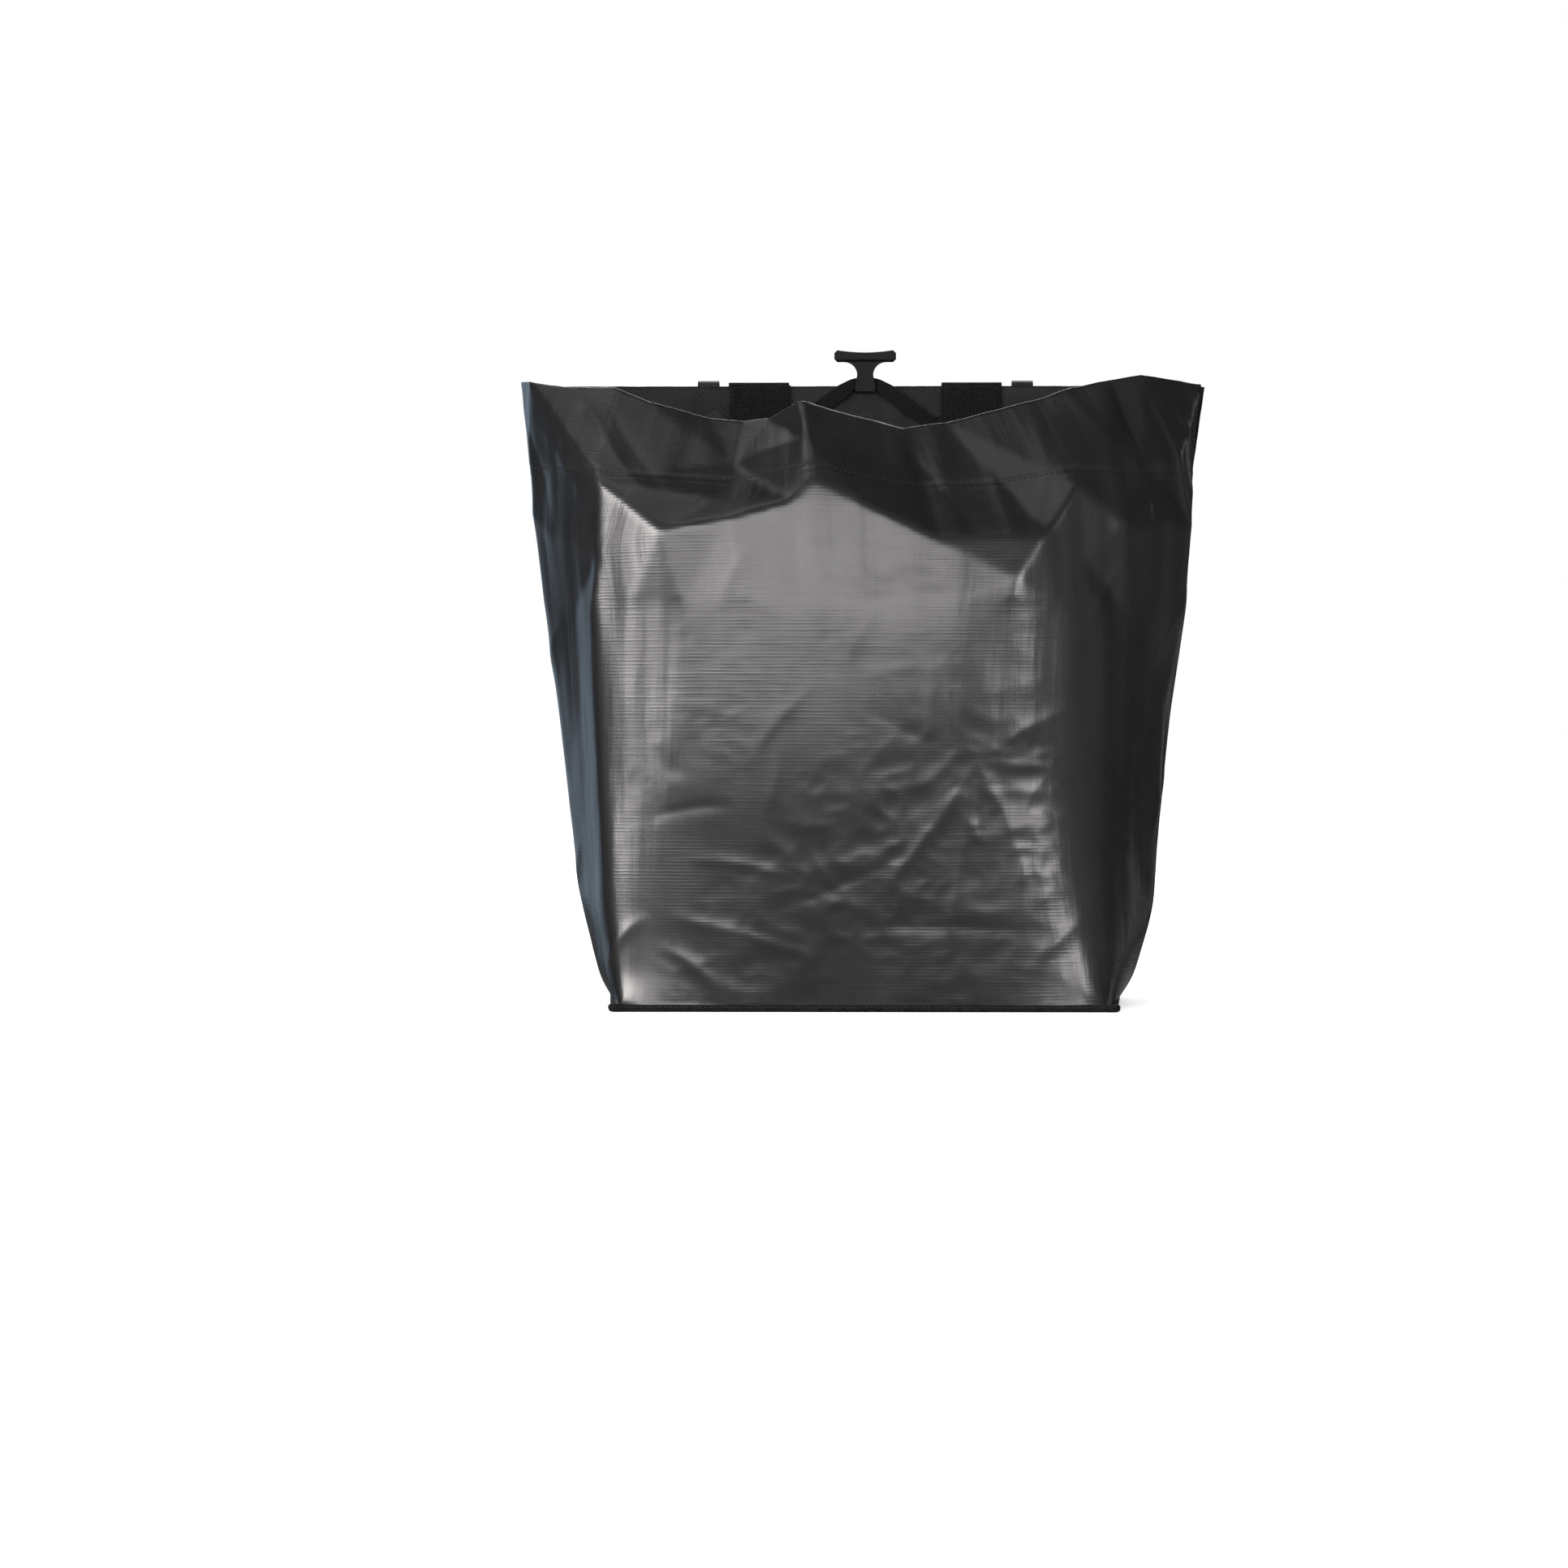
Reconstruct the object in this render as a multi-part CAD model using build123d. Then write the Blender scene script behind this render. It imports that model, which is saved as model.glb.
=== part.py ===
"""Open shopper pannier: a coated-cloth bag on a stiff back, hung on a bicycle rack by two hooks.

All sizes are in millimetres, +Z is up and the rack is on the +Y side. Each sub-part is drawn
with y = 0 on the inner face of the back, and save() moves it so that the origin ends up
under the middle of the whole bag.
"""
from build123d import *
import os

# ---- the bag ----
HEIGHT = 402.0                # floor of the bag to its back top edge
BACK_TOP_WIDTH = 444.0        # back panel at the mouth
BACK_BASE_WIDTH = 331.0       # back panel at the base
FRONT_BASE_WIDTH = 312.0      # front of the base
BASE_DEPTH = 168.0            # base, front to back
CLOTH = 1.0                   # coated cloth and lining
BACK_BOARD = 2.0              # stiffener inside the back
BASE_BOARD = 2.5              # stiffener on the floor of the bag
BOARD_INSET = 3.0
FRONT_REACH = 180.0           # how far the middle of the front bulges out
BELLY_HEIGHT = 200.0          # where it bulges most

# ---- bindings ----
SEAM_ROLL = 2.5               # thickness of the bound seam round the base
SEAM_HEIGHT = 5.0
FOOT_Z = 6.0                  # the cloth stands straight up to here, inside the seam
TAPE = 1.2                    # thickness of the tape on the side edges
BINDING = 0.8                 # thickness of its flange, and of the top binding
FLANGE = 8.0

# ---- hook rail ----
RAIL_LENGTH = 390.0
RAIL_BOTTOM, RAIL_TOP = 370.0, 392.0
RAIL_DEPTH = 8.0
RAIL_WALL = 1.6
RAIL_LIP = 3.0
CAP_LENGTH = 4.0
RIVET_X = (-185.0, -100.0, 0.0, 100.0, 185.0)
RIVET_R = 1.95
RIVET_HOLE_R = 2.0
RIVET_HEAD_R = 3.2
RIVET_HEAD = 1.2
WASHER_R, WASHER = 6.0, 0.8

# ---- hooks ----
HOOK_X = 104.0
HOOK_WIDTH = 14.0
FOOT_WIDTH = 22.0
HOOK_WALL = 4.0
LINER = 1.0
TUBE_R = 8.0                  # rack tube that the lined hook sits on
SEAT_Z = 395.0
FOOT_BOTTOM = 368.0
LIP_BOTTOM = 380.0
LINER_BOTTOM = 386.0
NUT_PLATE = 2.6
NUT_PLATE_HEIGHT = 18.0
SCREW_R, SCREW_HEAD_R, SCREW_HEAD = 2.0, 3.2, 2.0
SCREW_OFFSET = 7.5
SLIDE_GAP = 0.2

# ---- carry handle ----
WEBBING_WIDTH = 40.0
WEBBING = 2.0
STRAP_X = 70.0                # middle of each strap
STRAP_BOTTOM = 330.0          # lower end of the sewn strap inside the bag
PIVOT_Z = 404.3               # the strap bends here, over the top edge
LEG_BOTTOM = 340.0            # where the webbing starts to turn on edge
BOW_Z, BOW_R = 300.0, 70.0
GRIP_WIDTH, GRIP = 20.0, 4.0  # webbing folded double where it is held
HANDLE_GAP = 1.0              # between the rail and the hanging strap

# ---- closing pull ----
TAB_WIDTH, TAB_HEIGHT, TAB = 15.0, 15.0, 1.2
TAB_X, TAB_Z = 41.5, 376.5
ELASTIC = 1.2
ELASTIC_WIDTH = 10.0
ELASTIC_FOOT = (44.0, 378.0)  # middle of the leg where it is sewn down
ELASTIC_KNEE = (7.0, 404.8)   # middle of the leg where it enters the pull
ELASTIC_GATHER = 6.6          # its width inside the pull
ELASTIC_Y = -2.8
PULL_BAR, PULL_BAR_HEIGHT = 40.6, 7.5
PULL_TOP, PULL_BOTTOM = 426.0, 399.0
PULL_STEM = 10.6
PULL_FOOT = 13.0
PULL_NECK_Z = 410.0
PULL_THICK, PULL_BAR_THICK = 4.8, 8.0
PULL_CLEAR = 0.3

# ---- derived ----
PANEL_Y = CLOTH + BACK_BOARD                    # inner face of the outer back cloth
BACK_Y = PANEL_Y + CLOTH                        # outer face of the back
RAIL_Y = BACK_Y + RAIL_DEPTH                    # outer face of the rail
RAIL_Z = (RAIL_BOTTOM + RAIL_TOP) / 2
SEAT_R = TUBE_R + LINER                         # hook before its liner
HOOK_OUTER_R = SEAT_R + HOOK_WALL
HOOK_Y = RAIL_Y + SLIDE_GAP                     # rail side of the hook foot
SEAT_Y = HOOK_Y + HOOK_OUTER_R
HOOK_REACH = SEAT_Y + HOOK_OUTER_R
SHIFT_Y = (FRONT_REACH + CLOTH - HOOK_REACH) / 2


def half_width(z):
    """Half the width of the back of the bag at height z."""
    rise = max(0, z - FOOT_Z) / (HEIGHT - FOOT_Z)
    return (BACK_BASE_WIDTH + (BACK_TOP_WIDTH - BACK_BASE_WIDTH) * rise) / 2


def slab_xy(points, z0, z1):
    """A plate with its outline given as x, y, between two heights."""
    face = Face(Wire.make_polygon([(x, y, z0) for x, y in points]))
    return Solid.extrude(face, Vector(0, 0, z1 - z0))


def slab_xz(points, y0, y1):
    """A plate with its outline given as x, z, between two depths."""
    face = Face(Wire.make_polygon([(x, y0, z) for x, z in points]))
    return Solid.extrude(face, Vector(0, y1 - y0, 0))


def slab_yz(points, x0, x1):
    """A bar with its section given as y, z, between two sides."""
    face = Face(Wire.make_polygon([(x0, y, z) for y, z in points]))
    return Solid.extrude(face, Vector(x1 - x0, 0, 0))


def block(x0, x1, y0, y1, z0, z1):
    """A plain box between its corners."""
    return slab_xy([(x0, y0), (x1, y0), (x1, y1), (x0, y1)], z0, z1)


def pin_y(x, z, radius, y0, y1):
    """A round pin along the depth."""
    return Pos(x, (y0 + y1) / 2, z) * Rot(90, 0, 0) * Cylinder(radius, y1 - y0)


def save(name, *pieces):
    """Write one sub-part, moved to the bag's own origin."""
    moved = [Pos(0, SHIFT_Y, 0) * piece for piece in pieces]
    shape = moved[0] if len(moved) == 1 else Compound(children=moved)
    export_step(shape, f"parts/{name}.step")


def save_pair(name, right):
    """Write a right-hand sub-part and its mirror image on the left."""
    save(f"{name}_right", right)
    save(f"{name}_left", mirror(right, about=Plane.YZ))


# ---- back of the bag ----
def back_sheet(y0, y1, inset=0.0):
    """One layer of the back, with the rivet holes through it."""
    levels = (CLOTH + inset, FOOT_Z, HEIGHT - inset)
    right = [(half_width(z) - inset, z) for z in levels]
    left = [(-x, z) for x, z in reversed(right)]
    sheet = slab_xz(right + left, y0, y1)
    for x in RIVET_X:
        sheet -= pin_y(x, RAIL_Z, RIVET_HOLE_R, y0 - 1, y1 + 1)
    return sheet


def side_binding():
    """Tape folded round the right edge of the back, with a flange on the rack side."""
    low, high = FOOT_Z, HEIGHT - FLANGE - 0.5
    edge = half_width(low)
    behind = BACK_Y + BINDING
    section = [(edge, 0), (edge + TAPE, 0), (edge + TAPE, behind),
               (edge - FLANGE, behind), (edge - FLANGE, BACK_Y), (edge, BACK_Y)]
    face = Face(Wire.make_polygon([(x, y, low) for x, y in section]))
    return Solid.extrude(face, Vector(half_width(high) - edge, 0, high - low))


def back_top_binding():
    """Tape folded over the top edge of the back, between the corners."""
    behind = BACK_Y + BINDING
    section = [(0, HEIGHT), (0, HEIGHT + BINDING), (behind, HEIGHT + BINDING),
               (behind, HEIGHT - FLANGE), (BACK_Y, HEIGHT - FLANGE), (BACK_Y, HEIGHT)]
    wide = half_width(HEIGHT - FLANGE)
    return slab_yz(section, -wide, wide)


# ---- front and sides, one piece of cloth ----
def wrap_rows():
    """Inner face of the cloth, right half, each row from the back edge to the middle.

    The bag stands nearly straight up to the shoulder, then its front falls back to the mouth.
    """
    front = BASE_DEPTH - CLOTH
    corner = FRONT_BASE_WIDTH / 2 - CLOTH
    back = BACK_BASE_WIDTH / 2 - CLOTH
    foot = [(back, 0), ((back + corner) / 2, -front / 2), (corner, -front),
            (corner / 2, -front), (0, -front)]
    rows = [[(x, y, z) for x, y in foot] for z in (CLOTH, FOOT_Z)]
    rows.append([(half_width(100) - CLOTH, 0, 100), (185, -82, 100), (161, -170, 100),
                 (84, -174, 100), (0, -175, 100)])
    rows.append([(half_width(BELLY_HEIGHT) - CLOTH, 0, BELLY_HEIGHT),
                 (197, -80, BELLY_HEIGHT), (163, -170, BELLY_HEIGHT),
                 (85, -178, BELLY_HEIGHT), (0, -FRONT_REACH, BELLY_HEIGHT)])
    rows.append([(half_width(300) - CLOTH, 0, 300), (211, -72, 300), (175, -150, 318),
                 (108, -168, 285), (0, -162, 335)])
    rows.append([(half_width(HEIGHT) - CLOTH, 0, HEIGHT), (213, -28, HEIGHT),
                 (198, -52, HEIGHT), (90, -92, 384), (0, -112, 380)])
    return [row + [(-x, y, z) for x, y, z in reversed(row[:-1])] for row in rows]


def outward(row, thickness):
    """The same row moved out by a thickness, with its two ends kept on y = 0."""
    points = [Vector(*p) for p in row]
    flat = [Vector(p.X, p.Y) for p in points]
    normals = []
    for a, b in zip(flat, flat[1:]):
        along = (b - a).normalized()
        normals.append(Vector(-along.Y, along.X))
    moved = []
    for i, point in enumerate(points):
        if i in (0, len(points) - 1):
            normal = normals[0 if i == 0 else -1]
            step = Vector(thickness / normal.X, 0)
        else:
            a, b = normals[i - 1], normals[i]
            step = (a + b) * (thickness / (1 + a.dot(b)))
        moved.append(point + step)
    return moved


def triangles(a, b, c, d):
    """Two flat faces between four points."""
    return [Face(Wire.make_polygon(corner)) for corner in ((a, b, c), (a, c, d))]


def front_wrap():
    """Front and both sides: one sheet round the bag, sewn to the back along y = 0."""
    inner = [[Vector(*p) for p in row] for row in wrap_rows()]
    outer = [[Vector(*p) for p in outward([tuple(q) for q in row], CLOTH)] for row in inner]
    faces = []
    for sheet in (inner, outer):
        for low, high in zip(sheet, sheet[1:]):
            for i in range(len(low) - 1):
                faces += triangles(low[i], low[i + 1], high[i + 1], high[i])
    for inside, outside in ((inner[0], outer[0]), (inner[-1], outer[-1])):
        for i in range(len(inside) - 1):
            faces += triangles(inside[i], inside[i + 1], outside[i + 1], outside[i])
    for end in (0, -1):
        for i in range(len(inner) - 1):
            faces += triangles(inner[i][end], inner[i + 1][end],
                               outer[i + 1][end], outer[i][end])
    return Solid(Shell(faces))


# ---- base ----
def base_outline(grow=0.0):
    """Outline of the bag at the base, larger all round by grow."""
    slope = (BACK_BASE_WIDTH - FRONT_BASE_WIDTH) / 2 / BASE_DEPTH
    front, back = -BASE_DEPTH - grow, BACK_Y + grow
    wide_front = FRONT_BASE_WIDTH / 2 + grow * (1 - slope)
    wide_back = BACK_BASE_WIDTH / 2 + grow
    return [(wide_back, back), (wide_back, 0), (wide_front, front),
            (-wide_front, front), (-wide_back, 0), (-wide_back, back)]


def base_panel():
    """Cloth floor of the bag."""
    return slab_xy(base_outline(), 0, CLOTH)


def base_board():
    """Stiffener lying on the cloth floor."""
    front = -BASE_DEPTH + BOARD_INSET
    wide_front = FRONT_BASE_WIDTH / 2 - BOARD_INSET
    wide_back = BACK_BASE_WIDTH / 2 - BOARD_INSET
    outline = [(wide_back, -CLOTH), (wide_front, front), (-wide_front, front),
               (-wide_back, -CLOTH)]
    return slab_xy(outline, CLOTH, CLOTH + BASE_BOARD)


def base_binding():
    """Bound seam that runs round the foot of the bag."""
    return slab_xy(base_outline(SEAM_ROLL), 0, SEAM_HEIGHT) - slab_xy(
        base_outline(), -1, SEAM_HEIGHT + 1)


# ---- hook rail ----
def hook_rail():
    """Aluminium channel with its slot towards the rack."""
    y0, y1 = BACK_Y, RAIL_Y
    z0, z1 = RAIL_BOTTOM, RAIL_TOP
    half = RAIL_LENGTH / 2
    rail = block(-half, half, y0, y1, z0, z1)
    rail -= block(-half - 1, half + 1, y0 + RAIL_WALL, y1 - RAIL_WALL,
                  z0 + RAIL_WALL, z1 - RAIL_WALL)
    rail -= block(-half - 1, half + 1, y1 - 2 * RAIL_WALL, y1 + 1,
                  z0 + RAIL_WALL + RAIL_LIP, z1 - RAIL_WALL - RAIL_LIP)
    for x in RIVET_X:
        rail -= pin_y(x, RAIL_Z, RIVET_HOLE_R, y0 - 1, y0 + RAIL_WALL + 1)
    return rail


def rail_cap():
    """Plug that closes the right end of the rail."""
    half = RAIL_LENGTH / 2
    inset = RAIL_WALL + PULL_CLEAR
    cap = block(half, half + CAP_LENGTH, BACK_Y, RAIL_Y, RAIL_BOTTOM, RAIL_TOP)
    cap = fillet(cap.edges().filter_by(Axis.Y).sort_by(Axis.X)[-2:], 2.0)
    plug = block(half - CAP_LENGTH, half, BACK_Y + inset, RAIL_Y - inset,
                 RAIL_BOTTOM + inset, RAIL_TOP - inset)
    return cap + plug


def rivet(x):
    """Blind rivet with its flat head in the rail and its tail inside the bag."""
    head = BACK_Y + RAIL_WALL
    tail = -WASHER
    return (pin_y(x, RAIL_Z, RIVET_R, tail, head)
            + pin_y(x, RAIL_Z, RIVET_HEAD_R, head, head + RIVET_HEAD)
            + pin_y(x, RAIL_Z, RIVET_HEAD_R, tail - RIVET_HEAD, tail))


def rivet_washer(x):
    """Washer between the lining and a rivet's tail."""
    return (pin_y(x, RAIL_Z, WASHER_R, -WASHER, 0)
            - pin_y(x, RAIL_Z, RIVET_HOLE_R, -WASHER - 1, 1))


# ---- hooks ----
def hook_arch(outer, inner, near_bottom, far_bottom, width):
    """An upside-down U round the rack tube, near leg on the bag's side."""
    wall, middle = outer - inner, (outer + inner) / 2
    arch = Circle(outer) - Circle(inner) - Pos(0, -outer) * Rectangle(4 * outer, 2 * outer)
    for side, bottom in ((-1, near_bottom), (1, far_bottom)):
        drop = SEAT_Z - bottom
        arch += Pos(side * middle, -drop / 2) * Rectangle(wall, drop)
    return extrude(Plane.YZ * Pos(SEAT_Y, SEAT_Z) * arch, amount=width / 2, both=True)


def hook():
    """Moulded hook with its foot plate, at the middle of the bag."""
    arch = hook_arch(HOOK_OUTER_R, SEAT_R, SEAT_Z, LIP_BOTTOM, HOOK_WIDTH)
    foot_top = SEAT_Z - 1
    foot = block(-FOOT_WIDTH / 2, FOOT_WIDTH / 2, HOOK_Y, HOOK_Y + HOOK_WALL,
                 FOOT_BOTTOM, foot_top)
    foot = fillet(foot.edges().filter_by(Axis.Y), 3.0)
    neck = block(-HOOK_WIDTH / 2, HOOK_WIDTH / 2, HOOK_Y, HOOK_Y + HOOK_WALL,
                 foot_top - 4, SEAT_Z)
    body = arch + foot + neck
    for x in (-SCREW_OFFSET, SCREW_OFFSET):
        body -= pin_y(x, RAIL_Z, SCREW_R + 0.05, HOOK_Y - 1, HOOK_Y + HOOK_WALL + 1)
    return body


def hook_liner():
    """Rubber strip that grips the rack tube."""
    return hook_arch(SEAT_R, TUBE_R, LINER_BOTTOM, LINER_BOTTOM, HOOK_WIDTH)


def nut_plate():
    """Plate that slides inside the rail and takes the hook's screws."""
    y1 = RAIL_Y - RAIL_WALL - SLIDE_GAP
    half_high = NUT_PLATE_HEIGHT / 2
    plate = block(-FOOT_WIDTH / 2, FOOT_WIDTH / 2, y1 - NUT_PLATE, y1,
                  RAIL_Z - half_high, RAIL_Z + half_high)
    for x in (-SCREW_OFFSET, SCREW_OFFSET):
        plate -= pin_y(x, RAIL_Z, SCREW_R, y1 - NUT_PLATE - 1, y1 + 1)
    return plate


def hook_screw(x):
    """Cap screw from the hook's foot into the nut plate."""
    seat = HOOK_Y + HOOK_WALL
    tip = RAIL_Y - RAIL_WALL - SLIDE_GAP - NUT_PLATE
    screw = (pin_y(x, RAIL_Z, SCREW_R, tip, seat)
             + pin_y(x, RAIL_Z, SCREW_HEAD_R, seat, seat + SCREW_HEAD))
    return screw - pin_y(x, RAIL_Z, 1.5, seat + 0.8, seat + SCREW_HEAD + 1)


# ---- carry handle ----
def handle_end():
    """Right strap end, sewn to the lining inside the bag."""
    x0, x1 = STRAP_X - WEBBING_WIDTH / 2, STRAP_X + WEBBING_WIDTH / 2
    return block(x0, x1, -WEBBING, 0, STRAP_BOTTOM, HEIGHT + BINDING)


def carry_handle():
    """Webbing over the top edge, hanging in a bow on the rack side, folded double in the middle."""
    near = RAIL_Y + HANDLE_GAP
    half = WEBBING_WIDTH / 2
    low, high = PIVOT_Z - WEBBING / 2, PIVOT_Z + WEBBING / 2
    handle = Pos(0, 0, BOW_Z) * (Rot(90, 0, 0) * (
        Cylinder(BOW_R + GRIP / 2, GRIP_WIDTH) - Cylinder(BOW_R - GRIP / 2, GRIP_WIDTH)))
    handle = Pos(0, near + GRIP_WIDTH / 2, 0) * handle
    handle -= block(-2 * BOW_R, 2 * BOW_R, near - 1, near + GRIP_WIDTH + 1,
                    BOW_Z, BOW_Z + 2 * BOW_R)
    for x in (-STRAP_X, STRAP_X):
        bend = Pos(x, 0, PIVOT_Z) * Rot(0, 90, 0) * Cylinder(WEBBING / 2, WEBBING_WIDTH)
        bridge = block(x - half, x + half, 0, near + WEBBING, low, high)
        leg = block(x - half, x + half, near, near + WEBBING, LEG_BOTTOM, high)
        flat = Wire.make_polygon([(x - half, near, LEG_BOTTOM), (x + half, near, LEG_BOTTOM),
                                  (x + half, near + WEBBING, LEG_BOTTOM),
                                  (x - half, near + WEBBING, LEG_BOTTOM)])
        edge_on = Wire.make_polygon([(x - GRIP / 2, near, BOW_Z), (x + GRIP / 2, near, BOW_Z),
                                     (x + GRIP / 2, near + GRIP_WIDTH, BOW_Z),
                                     (x - GRIP / 2, near + GRIP_WIDTH, BOW_Z)])
        handle += bend + bridge + leg + Solid.make_loft([edge_on, flat], ruled=True)
    return handle


# ---- closing pull ----
def elastic_tab():
    """Patch on the lining that the right end of the elastic is sewn under."""
    return block(TAB_X - TAB_WIDTH / 2, TAB_X + TAB_WIDTH / 2, -TAB, 0,
                 TAB_Z - TAB_HEIGHT / 2, TAB_Z + TAB_HEIGHT / 2)


def elastic_band():
    """One flat elastic, sewn down at both ends and passing through the foot of the pull."""
    foot, knee = Vector(*ELASTIC_FOOT), Vector(*ELASTIC_KNEE)
    along = (knee - foot).normalized()
    across = Vector(-along.Y, along.X) * (-ELASTIC_WIDTH / 2)
    gather = Vector(0, ELASTIC_GATHER / 2)
    right = [foot - across, foot + across, knee + gather]
    inner = [knee - gather]
    left = [Vector(-p.X, p.Y) for p in reversed(right)]
    outline = right + left + [Vector(-p.X, p.Y) for p in inner] + inner
    return slab_xz([(p.X, p.Y) for p in outline],
                   ELASTIC_Y - ELASTIC / 2, ELASTIC_Y + ELASTIC / 2)


def t_pull():
    """Moulded rubber T with a saddle-shaped bar, a waisted stem and a slot for the elastic."""
    bar_bottom = PULL_TOP - PULL_BAR_HEIGHT
    bar_half, stem_half = PULL_BAR / 2, PULL_STEM / 2
    bar = Polyline((bar_half - 2, PULL_TOP), (bar_half, PULL_TOP - 2), (bar_half, bar_bottom + 2),
                   (bar_half - 2, bar_bottom), (-bar_half + 2, bar_bottom),
                   (-bar_half, bar_bottom + 2), (-bar_half, PULL_TOP - 2),
                   (-bar_half + 2, PULL_TOP))
    saddle = ThreePointArc((-bar_half + 2, PULL_TOP), (0, PULL_TOP - 1.5),
                           (bar_half - 2, PULL_TOP))
    bar = make_face(bar + saddle)
    curve = bar_bottom - PULL_NECK_Z
    waist = Polyline((-stem_half - curve, bar_bottom), (stem_half + curve, bar_bottom))
    for side in (-1, 1):
        waist += ThreePointArc((side * (stem_half + curve), bar_bottom),
                               (side * (stem_half + curve * 0.293), bar_bottom - curve * 0.293),
                               (side * stem_half, PULL_NECK_Z))
        waist += Polyline((side * stem_half, PULL_NECK_Z), (side * PULL_FOOT / 2, PULL_BOTTOM + 3),
                          (side * PULL_FOOT / 2, PULL_BOTTOM))
    waist += Line((-PULL_FOOT / 2, PULL_BOTTOM), (PULL_FOOT / 2, PULL_BOTTOM))
    stem = make_face(waist)
    place = Plane.XZ.offset(-ELASTIC_Y)
    pull = extrude(place * bar, amount=PULL_BAR_THICK / 2, both=True)
    pull = fillet(pull.edges().filter_by(GeomType.LINE).filter_by(Axis.X), 2.0)
    pull += extrude(place * stem, amount=PULL_THICK / 2, both=True)
    slot_half = ELASTIC / 2 + PULL_CLEAR
    slot_low = ELASTIC_KNEE[1] - ELASTIC_GATHER / 2 - PULL_CLEAR
    slot_high = ELASTIC_KNEE[1] + ELASTIC_GATHER / 2 + PULL_CLEAR
    return pull - block(-PULL_FOOT, PULL_FOOT, ELASTIC_Y - slot_half, ELASTIC_Y + slot_half,
                        slot_low, slot_high)


def main():
    """Write every sub-part."""
    os.makedirs("parts", exist_ok=True)
    save("back_lining", back_sheet(0, CLOTH))
    save("back_board", back_sheet(CLOTH, PANEL_Y, BOARD_INSET))
    save("back_panel", back_sheet(PANEL_Y, BACK_Y))
    save_pair("side_binding", side_binding())
    save("back_top_binding", back_top_binding())
    save("front_wrap", front_wrap())
    save("base_panel", base_panel())
    save("base_board", base_board())
    save("base_binding", base_binding())
    save("hook_rail", hook_rail())
    save_pair("rail_cap", rail_cap())
    save("rail_rivets", *[rivet(x) for x in RIVET_X])
    save("rivet_washers", *[rivet_washer(x) for x in RIVET_X])
    for side, x in (("left", -HOOK_X), ("right", HOOK_X)):
        save(f"hook_{side}", Pos(x, 0, 0) * hook())
        save(f"hook_liner_{side}", Pos(x, 0, 0) * hook_liner())
        save(f"hook_nut_plate_{side}", Pos(x, 0, 0) * nut_plate())
        save(f"hook_screws_{side}", *[hook_screw(x + dx) for dx in (-SCREW_OFFSET, SCREW_OFFSET)])
    save_pair("handle_end", handle_end())
    save("carry_handle", carry_handle())
    save_pair("elastic_tab", elastic_tab())
    save("elastic_band", elastic_band())
    save("t_pull", t_pull())


main()
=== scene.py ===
"""Looks of the shopper pannier: cloth, tape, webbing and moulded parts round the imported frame."""
import math

import bpy
import numpy as np
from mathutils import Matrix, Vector, geometry, noise


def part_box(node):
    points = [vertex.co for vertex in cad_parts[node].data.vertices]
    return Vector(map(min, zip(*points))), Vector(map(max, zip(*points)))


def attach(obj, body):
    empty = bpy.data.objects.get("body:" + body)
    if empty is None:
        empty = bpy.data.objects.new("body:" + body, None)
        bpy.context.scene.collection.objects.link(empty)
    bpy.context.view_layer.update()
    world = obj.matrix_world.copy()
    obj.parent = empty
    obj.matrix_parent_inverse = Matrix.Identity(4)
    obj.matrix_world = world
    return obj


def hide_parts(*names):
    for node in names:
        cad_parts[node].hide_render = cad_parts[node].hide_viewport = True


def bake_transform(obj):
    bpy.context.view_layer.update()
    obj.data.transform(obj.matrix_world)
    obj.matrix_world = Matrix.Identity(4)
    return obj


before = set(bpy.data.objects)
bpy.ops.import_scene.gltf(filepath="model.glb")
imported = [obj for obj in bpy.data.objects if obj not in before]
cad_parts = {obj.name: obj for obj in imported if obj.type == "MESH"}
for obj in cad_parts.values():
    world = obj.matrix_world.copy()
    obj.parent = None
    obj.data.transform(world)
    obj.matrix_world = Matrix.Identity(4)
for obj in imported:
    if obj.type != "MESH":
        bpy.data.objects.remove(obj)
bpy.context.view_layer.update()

MM = 0.001

# ---- the bag, in mm ----
LINING_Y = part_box("back_lining")[0].y            # m, inner face of the back
BACK_TOP_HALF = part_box("back_lining")[1].x / MM
BACK_BASE_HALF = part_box("base_panel")[1].x / MM
FRONT_BASE_HALF = BACK_BASE_HALF - 9.5
BASE_DEPTH = 168.0
FOOT_Z = 6.0                                     # the back is straight up to here
HEIGHT = 402.0

# ---- the flat cloth of the front and sides, in mm ----
CUT_WIDTH, CUT_HEIGHT = 650.0, 405.0             # along the seams
HEM = 57.0                                       # turned in at the mouth
GRID = 4.0                                       # between points of the first shape
CLOTH = 0.8


def at(x, depth, z):
    """A point of the bag: x and z in mm, and its depth in mm in front of the back's inner face."""
    return Vector((x * MM, LINING_Y - depth * MM, z * MM))


def half_width(z):
    """Half the width of the back at height z, in mm."""
    rise = max(0.0, z - FOOT_Z) / (HEIGHT - FOOT_Z)
    return BACK_BASE_HALF + (BACK_TOP_HALF - BACK_BASE_HALF) * rise


# ---- scene ----
def make_camera():
    """Nearly level camera at the height of the bag's middle, far in front, with a long lens."""
    distance, eye_x, eye_z = 3300, 12.8, 184
    focal_length, sensor = 114.9, 36
    aim = at(-53.5, 0, 140.7)
    data = bpy.data.cameras.new("camera")
    data.lens, data.sensor_width = focal_length, sensor
    camera = bpy.data.objects.new("camera", data)
    bpy.context.scene.collection.objects.link(camera)
    camera.location = at(eye_x, distance, eye_z)
    camera.rotation_mode = "QUATERNION"
    camera.rotation_quaternion = (aim - camera.location).to_track_quat("-Z", "Y")
    bpy.context.scene.camera = camera


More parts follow.
